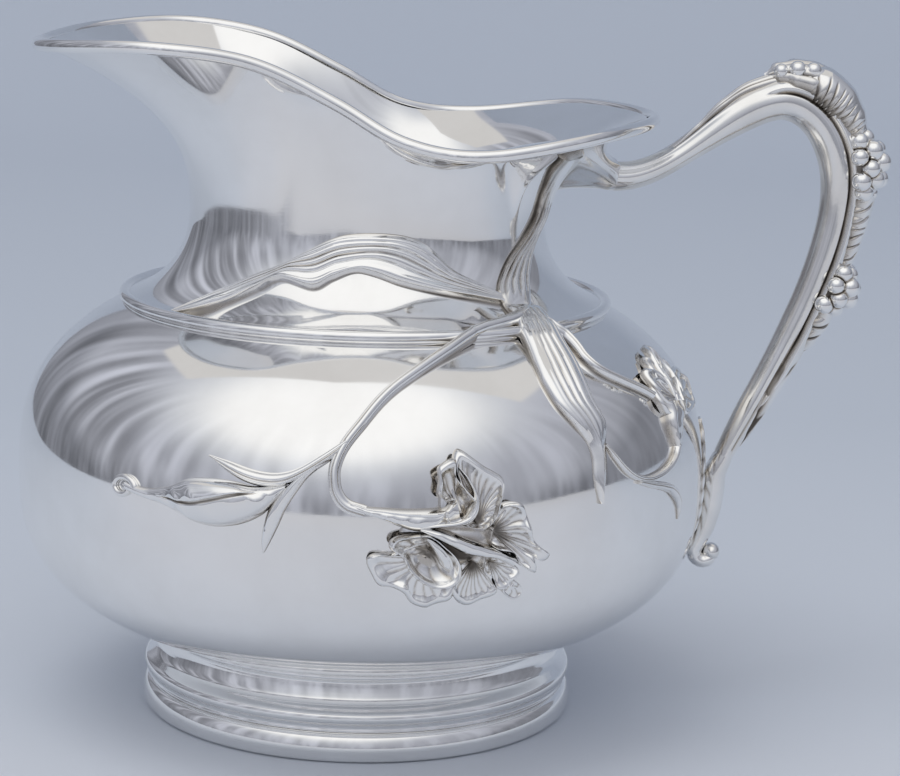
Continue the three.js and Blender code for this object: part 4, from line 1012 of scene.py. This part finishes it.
u = np.linspace(0, 1, 400)
reach = crestPoint[0] - rootPoint[0]
spans = [
    bent(rootPoint, rootPoint + (0.38 * reach, -11), crestPoint + (-0.34 * reach, -1.5), crestPoint, u),
    bent(crestPoint, crestPoint + (0.55 * (gripPoint[0] - crestPoint[0]), 0), gripPoint + (0, 0.55 * handle["grip"][1]),
         gripPoint, u),
    bent(gripPoint, gripPoint + (0.2, -0.34 * (gripPoint[1] - tailPoint[1])),
         tailPoint + (0.19 * (gripPoint[0] - tailPoint[0]), 0.205 * (gripPoint[1] - tailPoint[1])), tailPoint, u),
]
handleTrack = np.concatenate([spans[0], spans[1][1:], spans[2][1:]])
handleRun = np.concatenate([[0], np.cumsum(np.linalg.norm(np.diff(handleTrack, axis=0), axis=1))])
handleLength = handleRun[-1]


def handleFrame(t):
    s = np.asarray(t, float) * handleLength
    at = lambda v: np.stack([np.interp(v, handleRun, handleTrack[:, k]) for k in (0, 1)], -1)
    point = at(s)
    way = at(np.minimum(s + 0.6, handleLength)) - at(np.maximum(s - 0.6, 0))
    way /= np.linalg.norm(way, axis=-1)[..., None]
    out = np.stack([-way[..., 1], way[..., 0]], -1)
    return point, out, run(handle["thick"], t), run(handle["wide"], t)


def handleSkin(t, turn, lift):
    point, out, thick, wide = handleFrame(t)
    reach = (thick + lift) * np.cos(turn)
    return np.stack([point[..., 0] + out[..., 0] * reach, (wide + lift) * np.sin(turn),
                     point[..., 1] + out[..., 1] * reach], -1)


def barSection(tt, uu):
    away = np.abs(np.arctan2(np.sin(uu), np.cos(uu)))  # from the outer side
    channel = eased((0.3 - tt) / 0.1)
    hollow = np.exp(-(away / 0.62) ** 4) * channel
    edge = np.exp(-((away - 0.86) / 0.16) ** 2) * channel
    along = eased((tt - 0.3) / 0.04) * (1 - eased((tt - 0.8) / 0.1))
    line = np.exp(-((away - 1.12) / 0.06) ** 2) * along
    flange = (1 - eased((away - 0.98) / 0.14)) * along
    tail = np.exp(-((away - 1.25) / 0.1) ** 2) * eased((tt - 0.7) / 0.1) * (1 - eased((tt - 0.95) / 0.05))
    lift = -1.9 * hollow + 0.6 * edge + 1.6 * flange - 0.6 * line - 0.28 * tail
    # darkness: an even base tone, painted shade over the inner side towards the body, patina and painted shade in the
    # channel, the groove line and the tail groove
    dark = np.clip(0.13 + 0.25 * eased((away - 1.7) / 1.2) + 0.4 * hollow + line + 0.4 * tail, 0, 1)
    return lift, dark


def handleBody():
    t = np.linspace(0, 1, handle["rows"])
    turn = np.arange(handle["sides"]) / handle["sides"] * 2 * math.pi
    tt, uu = np.meshgrid(t, turn, indexing="ij")
    lift, dark = barSection(tt, uu)
    points = handleSkin(tt, uu, lift)
    faces = [tuple(f) for f in loopFaces(handle["rows"], handle["sides"], False, True)]
    n = handle["rows"] * handle["sides"]
    ends = np.stack([points[0].mean(0), points[-1].mean(0)])
    last = (handle["rows"] - 1) * handle["sides"]
    for j in range(handle["sides"]):
        k = (j + 1) % handle["sides"]
        faces.append((n, j, k))
        faces.append((n + 1, last + k, last + j))
    return np.concatenate([points.reshape(-1, 3), ends]), faces, np.concatenate([dark.ravel(), [0.5, 0.5]])


points, faces, tarnishAndShade = handleBody()
addPiece("handleBar", points, faces, castSilver, ["handle_half_left", "handle_half_right"], tarnishAndShade, sharp=60)
print("handle bar made")


# Places of the ornaments down the handle, each a small gap after the one before
ornaments = {"start": 0.16, "gap": 1.4, "pitch": 3.925, "upperRows": 4, "lowerRows": 3, "berry": 2.7}
pitch = ornaments["pitch"]


def downHandle():
    spans, mark = [], ornaments["start"] * handleLength
    for length in (0.175 * handleLength, 0.093 * handleLength, (ornaments["upperRows"] + 0.2) * pitch,
                   0.072 * handleLength, (ornaments["lowerRows"] + 0.2) * pitch, 0.068 * handleLength,
                   0.11 * handleLength):
        spans.append((mark / handleLength, (mark + length) / handleLength))
        mark += length + ornaments["gap"]
    return spans


capSpan, crestSpan, upperSpan, scrollSpan, lowerSpan, tailSpan, endSpan = downHandle()


# A leaf on the handle's outer side: strokes cut into its flanks, ribs along it, a scalloped edge
def handleLeaf(spec, rows=130, columns=61):
    f = np.linspace(0, 1, rows)
    a = np.linspace(-1, 1, columns)
    ff, aa = np.meshgrid(f, a, indexing="ij")
    away = np.abs(aa)
    scallop = 1 + spec["notch"] * (np.abs(np.sin(spec["veins"] * math.pi * ff)) - 0.5) * away ** 3
    turn = np.radians(run(spec["spread"], ff)) * aa * scallop
    t = mixed(spec["span"][0], spec["span"][1], ff)
    slanted = ff - spec["slant"] * away + 0.025 * np.sin(13 * ff) + 0.012 * np.sin(31 * ff + 2 * np.sign(aa))
    stroke = np.exp(-(np.sin(spec["veins"] * math.pi * slanted) / 0.24) ** 2) if spec["veins"] else 0 * ff
    flank = eased((away - spec["from"]) / 0.18) * (1 - eased((away - 0.88) / 0.1))
    groove = (1 - ribs(aa, spec["ribs"])) if spec["ribs"] else 0 * ff
    lift = mixed(spec["seat"], run(spec["relief"], ff), edgeFall(aa, spec["power"]))
    lift = lift - spec["cut"] * stroke * flank - spec["ribCut"] * groove
    top = handleSkin(t, turn, lift)
    under = handleSkin(t, turn, np.full_like(lift, spec["seat"] - 0.6))
    # darkness: an even base tone, patina and painted shade in the cut strokes and rib grooves, painted shadow at the
    # edges and a fixed 0.7 on the under surface where the leaf meets the bar
    dark = np.clip(0.1 + 1.1 * stroke * flank + 0.8 * groove ** 1.5 + 0.9 * away ** 7, 0, 1)
    points, faces = reliefBody(top, under)
    return points, faces, np.concatenate([dark, dark * 0 + 0.7], 1)


capLeaf = {"span": (capSpan[0] - 0.01, capSpan[1] + 0.012), "spread": [3, 16, 28, 36, 40], "seat": -1.5,
           "relief": [-1.1, -0.3, 0.7, 1.7, 2.8], "veins": 0, "slant": 0, "notch": 0, "from": 0, "cut": 0, "ribs": 5,
           "ribCut": 0.4, "power": 3}
crestLeaf = {"span": (crestSpan[0] + 0.006, crestSpan[1] + 0.004), "spread": [50, 62, 62, 54, 42], "seat": -0.2,
             "relief": [5.6, 7.4, 7.4, 6.4, 5.0], "veins": 12, "slant": 0.12, "notch": 0.08, "from": 0.42, "cut": 0.5,
             "ribs": 0, "ribCut": 0, "power": 2.2}
crestFold = {"span": (capSpan[1] - 0.024, crestSpan[0] + 0.046), "spread": [8, 40, 56, 58, 44, 12], "seat": -0.2,
             "relief": [2.4, 4.8, 6.2, 7.0, 7.2, 5.6], "veins": 0, "slant": 0, "notch": 0, "from": 0, "cut": 0,
             "ribs": 5, "ribCut": 1.0, "power": 1.8}
scrollLeaf = {"span": (upperSpan[1] - 0.03, lowerSpan[0] + 0.008), "spread": [48, 50, 46, 40], "seat": -0.2,
              "relief": [5.8, 5.0, 4.2, 3.4], "veins": 9, "slant": 0.18, "notch": 0.1, "from": 0.35, "cut": 0.5,
              "ribs": 0, "ribCut": 0, "power": 2.2}
tailLeaf = {"span": (lowerSpan[1] - 0.012, tailSpan[1] + 0.006), "spread": [48, 54, 46, 24], "seat": -0.2,
            "relief": [4.4, 4.6, 3.4, 1.4], "veins": 4, "slant": 0.2, "notch": 0.24, "from": 0.2, "cut": 0.6,
            "ribs": 0, "ribCut": 0, "power": 2.0}
endLeaf = {"span": (tailSpan[1] - 0.004, 0.94), "spread": [30, 62, 68, 62, 46, 10], "seat": -0.2,
           "relief": [1.8, 1.9, 1.6, 1.3, 0.9, 0.3], "veins": 2, "slant": 0.3, "notch": 0.16, "from": 0.5, "cut": 0.1,
           "ribs": 2, "ribCut": 0.3, "power": 5}


def ballBody(centre, radius, columns=28, rows=16):
    u = np.linspace(0, math.pi, rows + 1)[1:-1]
    v = np.arange(columns) / columns * 2 * math.pi
    uu, vv = np.meshgrid(u, v, indexing="ij")
    points = np.asarray(centre) + radius * np.stack([np.sin(uu) * np.cos(vv), np.sin(uu) * np.sin(vv), np.cos(uu)], -1)
    n = (rows - 1) * columns
    faces = [tuple(f) for f in loopFaces(rows - 1, columns, False, True)]
    for j in range(columns):
        k = (j + 1) % columns
        faces.append((n, j, k))
        faces.append((n + 1, n - columns + k, n - columns + j))
    ends = np.asarray(centre) + np.array([[0, 0, radius], [0, 0, -radius]])
    return np.concatenate([points.reshape(-1, 3), ends]), faces, np.zeros(n + 2)


joinedPiece("capLeaf", [handleLeaf(capLeaf)], ["handle_cap_leaf"])
# The crest carries a folded cap with three pairs of small balls in front of the stroked leaf,
# each of place along the handle, degrees to the side, lift and radius
crestBalls = [(0.327, 22, 3.3, 2.0), (0.34, 24, 4.3, 2.4), (0.354, 20, 5.0, 2.3)]
crestBodies = [handleLeaf(crestLeaf), handleLeaf(crestFold)]
for place, turn, lift, radius in crestBalls:
    for hand in (-1, 1):
        spot = handleSkin(np.array(place), np.array(hand * math.radians(turn)), np.array(lift))
        crestBodies.append(ballBody(spot, radius))
joinedPiece("crestLeaf", crestBodies, ["handle_crest_leaf"])
joinedPiece("scrollLeaf", [handleLeaf(scrollLeaf)], ["handle_scroll_leaf"])
joinedPiece("tailLeaf", [handleLeaf(tailLeaf)], ["handle_tail_leaf"])
joinedPiece("endLeaf", [handleLeaf(endLeaf)], ["handle_end_leaf"])
print("handle leaves made")


# Berries placed on points that carry their size
def berryTree():
    tree = bpy.data.node_groups.new("heapedBerries", "GeometryNodeTree")
    face = tree.interface
    face.new_socket("Places", in_out="INPUT", socket_type="NodeSocketGeometry")
    radius = face.new_socket("Berry radius", in_out="INPUT", socket_type="NodeSocketFloat")
    finish = face.new_socket("Finish", in_out="INPUT", socket_type="NodeSocketMaterial")
    face.new_socket("Berries", in_out="OUTPUT", socket_type="NodeSocketGeometry")
    nodes, links = tree.nodes, tree.links
    given = nodes.new("NodeGroupInput")
    ball = nodes.new("GeometryNodeMeshIcoSphere")
    ball.inputs["Subdivisions"].default_value = 4
    size = nodes.new("GeometryNodeInputNamedAttribute")
    size.data_type = "FLOAT"
    size.inputs["Name"].default_value = "size"
    spread = nodes.new("GeometryNodeInstanceOnPoints")
    real = nodes.new("GeometryNodeRealizeInstances")
    smooth = nodes.new("GeometryNodeSetShadeSmooth")
    dress = nodes.new("GeometryNodeSetMaterial")
    result = nodes.new("NodeGroupOutput")
    links.new(given.outputs["Berry radius"], ball.inputs["Radius"])
    links.new(given.outputs["Places"], spread.inputs["Points"])
    links.new(ball.outputs["Mesh"], spread.inputs["Instance"])
    links.new(size.outputs["Attribute"], spread.inputs["Scale"])
    links.new(spread.outputs["Instances"], real.inputs["Geometry"])
    links.new(real.outputs["Geometry"], smooth.inputs["Geometry"])
    links.new(smooth.outputs["Geometry"], dress.inputs["Geometry"])
    links.new(given.outputs["Finish"], dress.inputs["Material"])
    links.new(dress.outputs["Geometry"], result.inputs["Berries"])
    return tree, radius.identifier, finish.identifier


heapedBerries, berryRadiusId, berryFinishId = berryTree()


# Staggered rows over the handle's outer side, fullest in the middle of the bunch
def berryPiece(name, span, rows, node):
    places, sizes = [], []
    for i in range(rows):
        f = (i + 0.5) / rows
        full = math.sin(math.pi * f) ** 0.6
        columns = (-56, -19, 19, 56) if i % 2 == 0 else (-76, -38, 0, 38, 76)
        for k, turn in enumerate(columns):
            shift = 0.12 * math.sin(7.3 * i + 2.9 * k)
            t = mixed(span[0], span[1], f + shift / rows)
            high = full * (6.0 - 4.2 * (abs(turn) / 90) ** 1.8) + 0.7
            spot = handleSkin(np.array(t), np.array(math.radians(turn * 0.7)), np.array(high))
            places.append([float(v) for v in spot])
            sizes.append((1 + 0.09 * math.sin(5.1 * i + 3.3 * k)) * (0.86 + 0.14 * full))
    mesh = bpy.data.meshes.new(name + "Places")
    mesh.from_pydata(toRow(places).tolist(), [], [])
    layer = mesh.attributes.new("size", "FLOAT", "POINT")
    layer.data.foreach_set("value", sizes)
    holder = bpy.data.objects.new(name + "Places", mesh)
    scene.collection.objects.link(holder)
    heap = holder.modifiers.new("heap", "NODES")
    heap.node_group = heapedBerries
    heap[berryRadiusId] = ornaments["berry"] * 0.001
    heap[berryFinishId] = castSilver
    made = plainMesh(holder, name)
    # painted shade: dark where a berry is close to another or to the handle
    co = np.array([v.co for v in made.vertices])
    centres = toRow(places)
    near = np.sort(np.linalg.norm(co[:, None] - centres[None], axis=2), axis=1)
    second = near[:, 1] / (ornaments["berry"] * 0.001)
    layer = made.attributes.new("tarnishAndShade", "FLOAT", "POINT")
    layer.data.foreach_set("value", np.clip((1.2 - second) / 0.3, 0, 1))
    pad = {"span": span, "spread": [34, 58, 58, 34], "seat": -0.3, "relief": [1.8, 5.0, 5.0, 1.8], "veins": 0,
           "slant": 0, "notch": 0, "from": 0, "cut": 0, "ribs": 0, "ribCut": 0, "power": 2}
    points, faces, dark = handleLeaf(pad, 30, 21)
    faces = outwardFaces(points, faces)
    start = len(points)
    balls = [(co_ - np.array([axisX, 0, 0])) * 1000 for co_ in co]
    joined = [tuple(int(i) for i in f) for f in faces] + [tuple(start + i for i in p.vertices) for p in made.polygons]
    values = np.zeros(len(co))
    made.attributes["tarnishAndShade"].data.foreach_get("value", values)
    # painted shade: the pad under the berries is made nearly black
    tarnishAndShade = np.concatenate([np.ones(start) * 0.95, values])
    bpy.data.meshes.remove(made)
    return addPiece(name, np.concatenate([points, np.array(balls)]), joined, castSilver, [node], tarnishAndShade, sharp=0)


berryPiece("upperBerries", (upperSpan[0] - 0.006, upperSpan[1] - 0.014), 5, "handle_upper_berries")
berryPiece("lowerBerries", lowerSpan, 4, "handle_lower_berries")
print("berries made")


# Tail tongue down the leaf plate, ending in a small scroll turned outward
tailScroll = {"drop": 19.6, "radius": 2.5, "thick": [2.5, 3.0, 3.3, 3.2, 2.9, 2.5, 2.2, 2.2],
              "wide": [4.2, 4.4, 4.3, 4.0, 3.6, 3.3, 3.1, 3.0], "rows": 180, "sides": 48, "ball": 2.5}


def scrollTrack():
    away = handle["gap"] * 2 + handle["plate"]
    line = [tuple(handleFrame(np.array(t))[0]) for t in (0.95, 0.975)]
    line.append((tailPoint[0] + 0.3, tailPoint[1] + 0.5))
    for i in range(1, 5):
        z = body["bellyHeight"] - tailScroll["drop"] * i / 4
        p = skin(np.array(0.0), np.array(z), np.array(away + mixed(2.7, 2.0, i / 4)))
        line.append((float(p[0]), float(p[2])))
    x, z = line[-1]
    for i in range(1, 9):
        turn = math.pi + i / 8 * 1.02 * math.pi
        r = mixed(tailScroll["radius"], tailScroll["radius"] * 0.9, i / 8)
        line.append((x + tailScroll["radius"] + r * math.cos(turn), z - 1 + r * math.sin(turn)))
    return line


def tubeBody(line, thick, wide, rows, sides):  # an oval tube in the plane through the lip, closed at both ends
    t = np.linspace(0, 1, rows)
    p = throughPoints(line, t)
    way = np.gradient(p, axis=0)
    way /= np.linalg.norm(way, axis=1)[:, None]
    out = np.stack([-way[:, 1], way[:, 0]], -1)
    turn = np.arange(sides) / sides * 2 * math.pi
    close = np.sqrt(np.clip(1 - ((t - 0.93) / 0.07) ** 2, 0, 1))
    close = np.where(t < 0.93, 1, np.maximum(close, 0.02))
    th, wi = run(thick, t) * close, run(wide, t) * close
    reach = th[:, None] * np.cos(turn)[None]
    points = np.stack([p[:, None, 0] + out[:, None, 0] * reach, wi[:, None] * np.sin(turn)[None],
                       p[:, None, 1] + out[:, None, 1] * reach], -1)
    faces = [tuple(f) for f in loopFaces(rows, sides, False, True)]
    n, last = rows * sides, (rows - 1) * sides
    for j in range(sides):
        k = (j + 1) % sides
        faces.append((n, j, k))
        faces.append((n + 1, last + k, last + j))
    ends = np.stack([points[0].mean(0), points[-1].mean(0)])
    return np.concatenate([points.reshape(-1, 3), ends]), faces


points, faces = tubeBody(scrollTrack(), tailScroll["thick"], tailScroll["wide"], tailScroll["rows"], tailScroll["sides"])
endX, endZ = scrollTrack()[-1]
roll, rollFaces, rollDark = ballBody((endX, 0, endZ), tailScroll["ball"])
roll[:, 1] *= 1.25
joinedPiece("tailScroll", [(points, faces, np.full(len(points), 0.15)), (roll, rollFaces, rollDark + 0.2)], ["handle_scroll"])

# Leaf plate on the bowl under the tongue
leafPlate = {
    "near": [(1.0, -66), (3.6, -74), (4.6, -88), (4.9, -104), (4.2, -124), (2.4, -140), (0.6, -147)],
    "far": [(-1.0, -66), (-3.6, -74), (-4.6, -88), (-4.9, -104), (-4.2, -124), (-2.4, -140), (-0.6, -147)],
    "rows": 90, "columns": 41}


def leafPlateHeight(t, a):
    rim = np.exp(-((np.abs(a) - 0.86) / 0.1) ** 2)
    vein = np.abs(np.sin(9 * math.pi * (t - 0.16 * np.abs(a)))) ** 0.5
    lift = 0.95 * edgeFall(a, 12) * (0.72 + 0.28 * vein) + 0.3 * rim
    # darkness: patina and painted shade between the veins, painted shadow where the plate comes down to the bowl
    return lift, np.clip(0.6 * (1 - vein) + 0.6 * np.exp(-lift / 0.35), 0, 1)


top, under, tarnishAndShade = railedGrid(1, leafPlate["near"], leafPlate["far"], leafPlate["rows"], leafPlate["columns"], leafPlateHeight)
points, faces = reliefBody(top, under)
addPiece("leafPlate", points, faces, castSilver, ["handle_leaf_plate"], tarnishAndShade, sharp=70)
print("tail made")


# Root: the bar's end flares into the neck, up to the rim and down beside the straps
root = {"start": 0.04, "rows": 44, "sides": 168, "heart": (0, 168), "edge": [
    (0, 200), (12, 203), (24, 205), (31, 198), (20, 177), (11, 152), (0, 126), (-11, 152), (-20, 177), (-31, 198),
    (-24, 205), (-12, 203)], "reach": 6.5, "inner": 0.42, "lift": 2.2}


def rootPiece():
    part = np.arange(root["sides"]) / root["sides"]
    turn = part * 2 * math.pi
    point, out, thick, wide = handleFrame(np.array(root["start"]))
    back = np.array([-out[1], 0, out[0]])
    ring = handleSkin(np.full_like(turn, root["start"]), turn, barSection(np.full_like(turn, root["start"]), turn)[0] + 0.05)
    edge = closedThrough(root["edge"], part)
    heart = np.array(root["heart"], float)
    onNeck = lambda share, lift: skin(np.radians((heart + share * (edge - heart))[:, 0]),
                                      levelAt((heart + share * (edge - heart))[:, 1]), np.full(len(part), lift))
    rest, inner = onNeck(1.0, -0.25), onNeck(root["inner"], root["lift"])
    hold = ring - back * root["reach"]
    s = np.linspace(0, 1, root["rows"])[:, None, None]
    flare = (1 - s) ** 3 * ring + 3 * (1 - s) ** 2 * s * hold + 3 * (1 - s) * s ** 2 * inner + s ** 3 * rest
    backing = np.stack([onNeck(share, -0.3) for share in (0.8, 0.6, 0.4, 0.2)])
    rows = np.concatenate([flare, backing])
    n, last = rows.shape[0] * root["sides"], (rows.shape[0] - 1) * root["sides"]
    faces = [tuple(f) for f in loopFaces(rows.shape[0], root["sides"], False, True)]
    for j in range(root["sides"]):
        k = (j + 1) % root["sides"]
        faces.append((n, j, k))
        faces.append((n + 1, last + k, last + j))
    points = np.concatenate([rows.reshape(-1, 3), ring.mean(0)[None], onNeck(0.0, -0.3)[:1]])
    # painted shade: darker towards the rows where the root meets the neck, and a fixed 0.6 on the backing
    dark = np.repeat(0.1 + 0.6 * np.linspace(0, 1, root["rows"]) ** 14, root["sides"])
    tarnishAndShade = np.concatenate([dark, np.full(len(points) - len(dark), 0.6)])
    return joinedPiece("handleRoot", [(points, faces, tarnishAndShade)], ["handle_root"])


rootPiece()
print("root made")


# Table top with a cove behind it; the silver mirrors its front and left edges
floor = {"left": -0.85, "right": 2.4, "front": -0.9, "flat": 1.3, "bend": 0.9, "lift": 2.6}


def floorPiece():
    y = [floor["front"], -0.6, -0.3, 0.0, 0.3, 0.6, 0.9, floor["flat"]]
    z = [0.0] * len(y)
    for k in range(1, 17):
        turn = k / 16 * math.pi / 2
        y.append(floor["flat"] + floor["bend"] * math.sin(turn))
        z.append(floor["bend"] * (1 - math.cos(turn)))
    y.append(floor["flat"] + floor["bend"])
    z.append(floor["lift"])
    n = len(y)
    verts = [(x, a, b) for x in (floor["left"], floor["right"]) for a, b in zip(y, z)]
    mesh = bpy.data.meshes.new("floor")
    mesh.from_pydata(verts, [], [(i, n + i, n + i + 1, i + 1) for i in range(n - 1)])
    mesh.polygons.foreach_set("use_smooth", [True] * len(mesh.polygons))
    piece = bpy.data.objects.new("floor", mesh)
    scene.collection.objects.link(piece)
    material, nodes, links, shader = newMaterial("palePaper")
    place = nodes.new("ShaderNodeTexCoord")
    split = nodes.new("ShaderNodeSeparateXYZ")
    links.new(place.outputs["Object"], split.inputs["Vector"])
    depth = nodes.new("ShaderNodeMapRange")
    depth.inputs["From Min"].default_value = -0.6
    depth.inputs["From Max"].default_value = 1.4
    links.new(split.outputs["Y"], depth.inputs["Value"])
    # painted shade: the paper's colour runs from pale at the front to darker and bluer towards the cove, standing in
    # for light falling off towards the back
    tone = nodes.new("ShaderNodeValToRGB")
    tone.color_ramp.elements[0].color = (0.75, 0.755, 0.78, 1)
    tone.color_ramp.elements[1].color = (0.545, 0.595, 0.68, 1)
    for at, colour in ((0.22, (0.73, 0.755, 0.81, 1)), (0.3, (0.68, 0.725, 0.8, 1)), (0.5, (0.575, 0.625, 0.705, 1))):
        tone.color_ramp.elements.new(at).color = colour
    links.new(depth.outputs["Result"], tone.inputs["Fac"])
    links.new(tone.outputs["Color"], shader.inputs["Base Color"])
    shader.inputs["Roughness"].default_value = 0.7
    shader.inputs["Specular IOR Level"].default_value = 0.15
    mesh.materials.append(material)


floorPiece()

# A broad soft lamp overhead lifts the paper's tone; it isn't mirrored in the silver
softLamp = {"place": (-0.6, -0.45, 2.1), "size": 1.3, "power": 7.5}


def lampPiece():
    data = bpy.data.lights.new("softLamp", "AREA")
    data.shape = "SQUARE"
    data.size = softLamp["size"]
    data.energy = softLamp["power"]
    lamp = bpy.data.objects.new("softLamp", data)
    lamp.location = softLamp["place"]
    lamp.rotation_euler = (-lamp.location).to_track_quat("-Z", "Y").to_euler()
    lamp.visible_glossy = False
    scene.collection.objects.link(lamp)


lampPiece()

# Studio: a bright cloth high behind the camera that darkens to the sides in folds, a flat grey ceiling panel
# overhead towards the back, dim streaks along the table's edge
studio = {"glow": (-0.12, -0.44, 0.89), "panel": (0.64, 0.63, 0.625, 1), "low": (0.47, 0.5, 0.55, 1), "backdrop": (0.4, 0.44, 0.52, 1)}


def studioWorld():
    world = bpy.data.worlds.new("studio")
    scene.world = world
    world.use_nodes = True
    nodes, links = world.node_tree.nodes, world.node_tree.links
    background = nodes["Background"]
    place = nodes.new("ShaderNodeTexCoord")
    split = nodes.new("ShaderNodeSeparateXYZ")
    links.new(place.outputs["Generated"], split.inputs["Vector"])

    def maths(operation, a, b=None, clamp=False):
        node = nodes.new("ShaderNodeMath")
        node.operation = operation
        node.use_clamp = clamp
        for socket, value in zip(node.inputs, (a, b)):
            if value is None:
                continue
            if isinstance(value, (int, float)):
                socket.default_value = value
            else:
                links.new(value, socket)
        return node.outputs[0]

    def ranged(value, low, high, toLow, toHigh):
        node = nodes.new("ShaderNodeMapRange")
        node.interpolation_type = "SMOOTHSTEP"
        node.inputs["From Min"].default_value = low
        node.inputs["From Max"].default_value = high
        node.inputs["To Min"].default_value = toLow
        node.inputs["To Max"].default_value = toHigh
        links.new(value, node.inputs["Value"])
        return node.outputs["Result"]

    def mingled(factor, a, b):
        node = nodes.new("ShaderNodeMix")
        node.data_type = "RGBA"
        links.new(factor, node.inputs["Factor"])
        for socket, value in ((node.inputs["A"], a), (node.inputs["B"], b)):
            if isinstance(value, tuple):
                socket.default_value = value
            else:
                links.new(value, socket)
        return node.outputs["Result"]

    across, back, up = split.outputs["X"], split.outputs["Y"], split.outputs["Z"]
    towards = nodes.new("ShaderNodeVectorMath")
    towards.operation = "DOT_PRODUCT"
    links.new(place.outputs["Generated"], towards.inputs[0])
    towards.inputs[1].default_value = studio["glow"]
    glow = nodes.new("ShaderNodeValToRGB")
    glow.color_ramp.interpolation = "B_SPLINE"
    glow.color_ramp.elements[0].color = (0.2, 0.21, 0.245, 1)
    glow.color_ramp.elements[1].color = (1, 1, 1, 1)
    for at, colour in ((0.15, (0.37, 0.385, 0.44, 1)), (0.5, (0.43, 0.445, 0.51, 1)), (0.66, (0.5, 0.52, 0.58, 1)),
                       (0.78, (0.7, 0.72, 0.76, 1)), (0.88, (1, 1, 1, 1))):
        glow.color_ramp.elements.new(at).color = colour
    links.new(towards.outputs["Value"], glow.inputs["Fac"])
    flat = maths("POWER", maths("MAXIMUM", maths("SUBTRACT", 1.0, maths("MULTIPLY", up, up)), 0.0001), 0.5)
    fold = nodes.new("ShaderNodeCombineXYZ")
    links.new(maths("MULTIPLY", maths("DIVIDE", across, flat), 8.0), fold.inputs["X"])
    links.new(maths("MULTIPLY", maths("DIVIDE", back, flat), 8.0), fold.inputs["Y"])
    links.new(maths("MULTIPLY", up, 0.8), fold.inputs["Z"])
    cloth = nodes.new("ShaderNodeTexNoise")
    cloth.inputs["Scale"].default_value = 1.0
    cloth.inputs["Detail"].default_value = 2.0
    links.new(fold.outputs["Vector"], cloth.inputs["Vector"])
    deep = maths("MULTIPLY", ranged(towards.outputs["Value"], 0.35, 0.9, 1.0, 0.1), ranged(across, -0.5, 0.5, 0.9, 0.35))
    deep = maths("MULTIPLY", deep, maths("MULTIPLY", ranged(up, 0.6, 0.85, 1.0, 0.0), ranged(up, -0.1, 0.3, 0.4, 1.0)))
    folds = maths("MULTIPLY", maths("SUBTRACT", ranged(cloth.outputs["Fac"], 0.3, 0.7, 0.0, 1.0), 0.5), deep)
    cloths = maths("ADD", 1.0, folds)
    streak = nodes.new("ShaderNodeTexNoise")
    streak.inputs["Scale"].default_value = 3.4
    streak.inputs["Detail"].default_value = 3.0
    links.new(fold.outputs["Vector"], streak.inputs["Vector"])
    dim = maths("MULTIPLY", ranged(up, -0.1, 0.2, 1.0, 0.0), ranged(streak.outputs["Fac"], 0.36, 0.64, 0.0, 0.38))
    cloths = maths("MULTIPLY", cloths, maths("SUBTRACT", 1.0, dim))
    shaded = nodes.new("ShaderNodeVectorMath")
    shaded.operation = "SCALE"
    links.new(glow.outputs["Color"], shaded.inputs[0])
    links.new(cloths, shaded.inputs["Scale"])
    # the panel as a flat rectangle over the table
    high = maths("MAXIMUM", up, 0.05)
    panelX, panelY = maths("DIVIDE", across, high), maths("DIVIDE", back, high)
    front = maths("SUBTRACT", panelY, maths("MULTIPLY", maths("MAXIMUM", maths("SUBTRACT", -0.1, panelX), 0.0), 0.4))
    inside = maths("MULTIPLY", ranged(front, -0.01, 0.02, 0.0, 1.0), ranged(panelY, 0.75, 0.8, 1.0, 0.0))
    inside = maths("MULTIPLY", inside, ranged(maths("ABSOLUTE", panelX), 0.7, 0.74, 1.0, 0.0))
    # well below the table's edge the room is as pale as the table
    room = mingled(ranged(up, -0.24, -0.16, 1.0, 0.0), shaded.outputs["Vector"], studio["low"])
    room = mingled(inside, room, studio["panel"])
    seen = nodes.new("ShaderNodeLightPath")
    links.new(mingled(seen.outputs["Is Camera Ray"], room, studio["backdrop"]), background.inputs["Color"])
    background.inputs["Strength"].default_value = 1.0


studioWorld()
print("stage made")

# Camera at the photograph's view, fitted from the foot, rim and handle
view = {"place": (0.0, -0.747445, 0.238452), "pan": 0.0323702527, "pitch": 0.195491077, "roll": 0.0301323436,
        "focal": 2720.56588, "width": 900}


def cameraPiece():
    data = bpy.data.cameras.new("camera")
    data.sensor_fit = "HORIZONTAL"
    data.sensor_width = 36
    data.lens = view["focal"] / view["width"] * 36
    data.clip_start, data.clip_end = 0.01, 50
    camera = bpy.data.objects.new("camera", data)
    scene.collection.objects.link(camera)
    ahead = np.array([math.sin(view["pan"]), math.cos(view["pan"]), 0])
    right = np.array([math.cos(view["pan"]), -math.sin(view["pan"]), 0])
    up = np.array([0, 0, 1.0])
    c, s = math.cos(view["pitch"]), math.sin(view["pitch"])
    ahead, up = ahead * c - up * s, ahead * s + up * c
    c, s = math.cos(view["roll"]), math.sin(view["roll"])
    right, up = right * c + up * s, -right * s + up * c
    turned = np.eye(4)
    turned[:3, 0], turned[:3, 1], turned[:3, 2] = right, up, -ahead
    turned[:3, 3] = np.array(view["place"]) + np.array([axisX, 0, 0])
    camera.matrix_world = Matrix(turned.tolist())
    scene.camera = camera


cameraPiece()
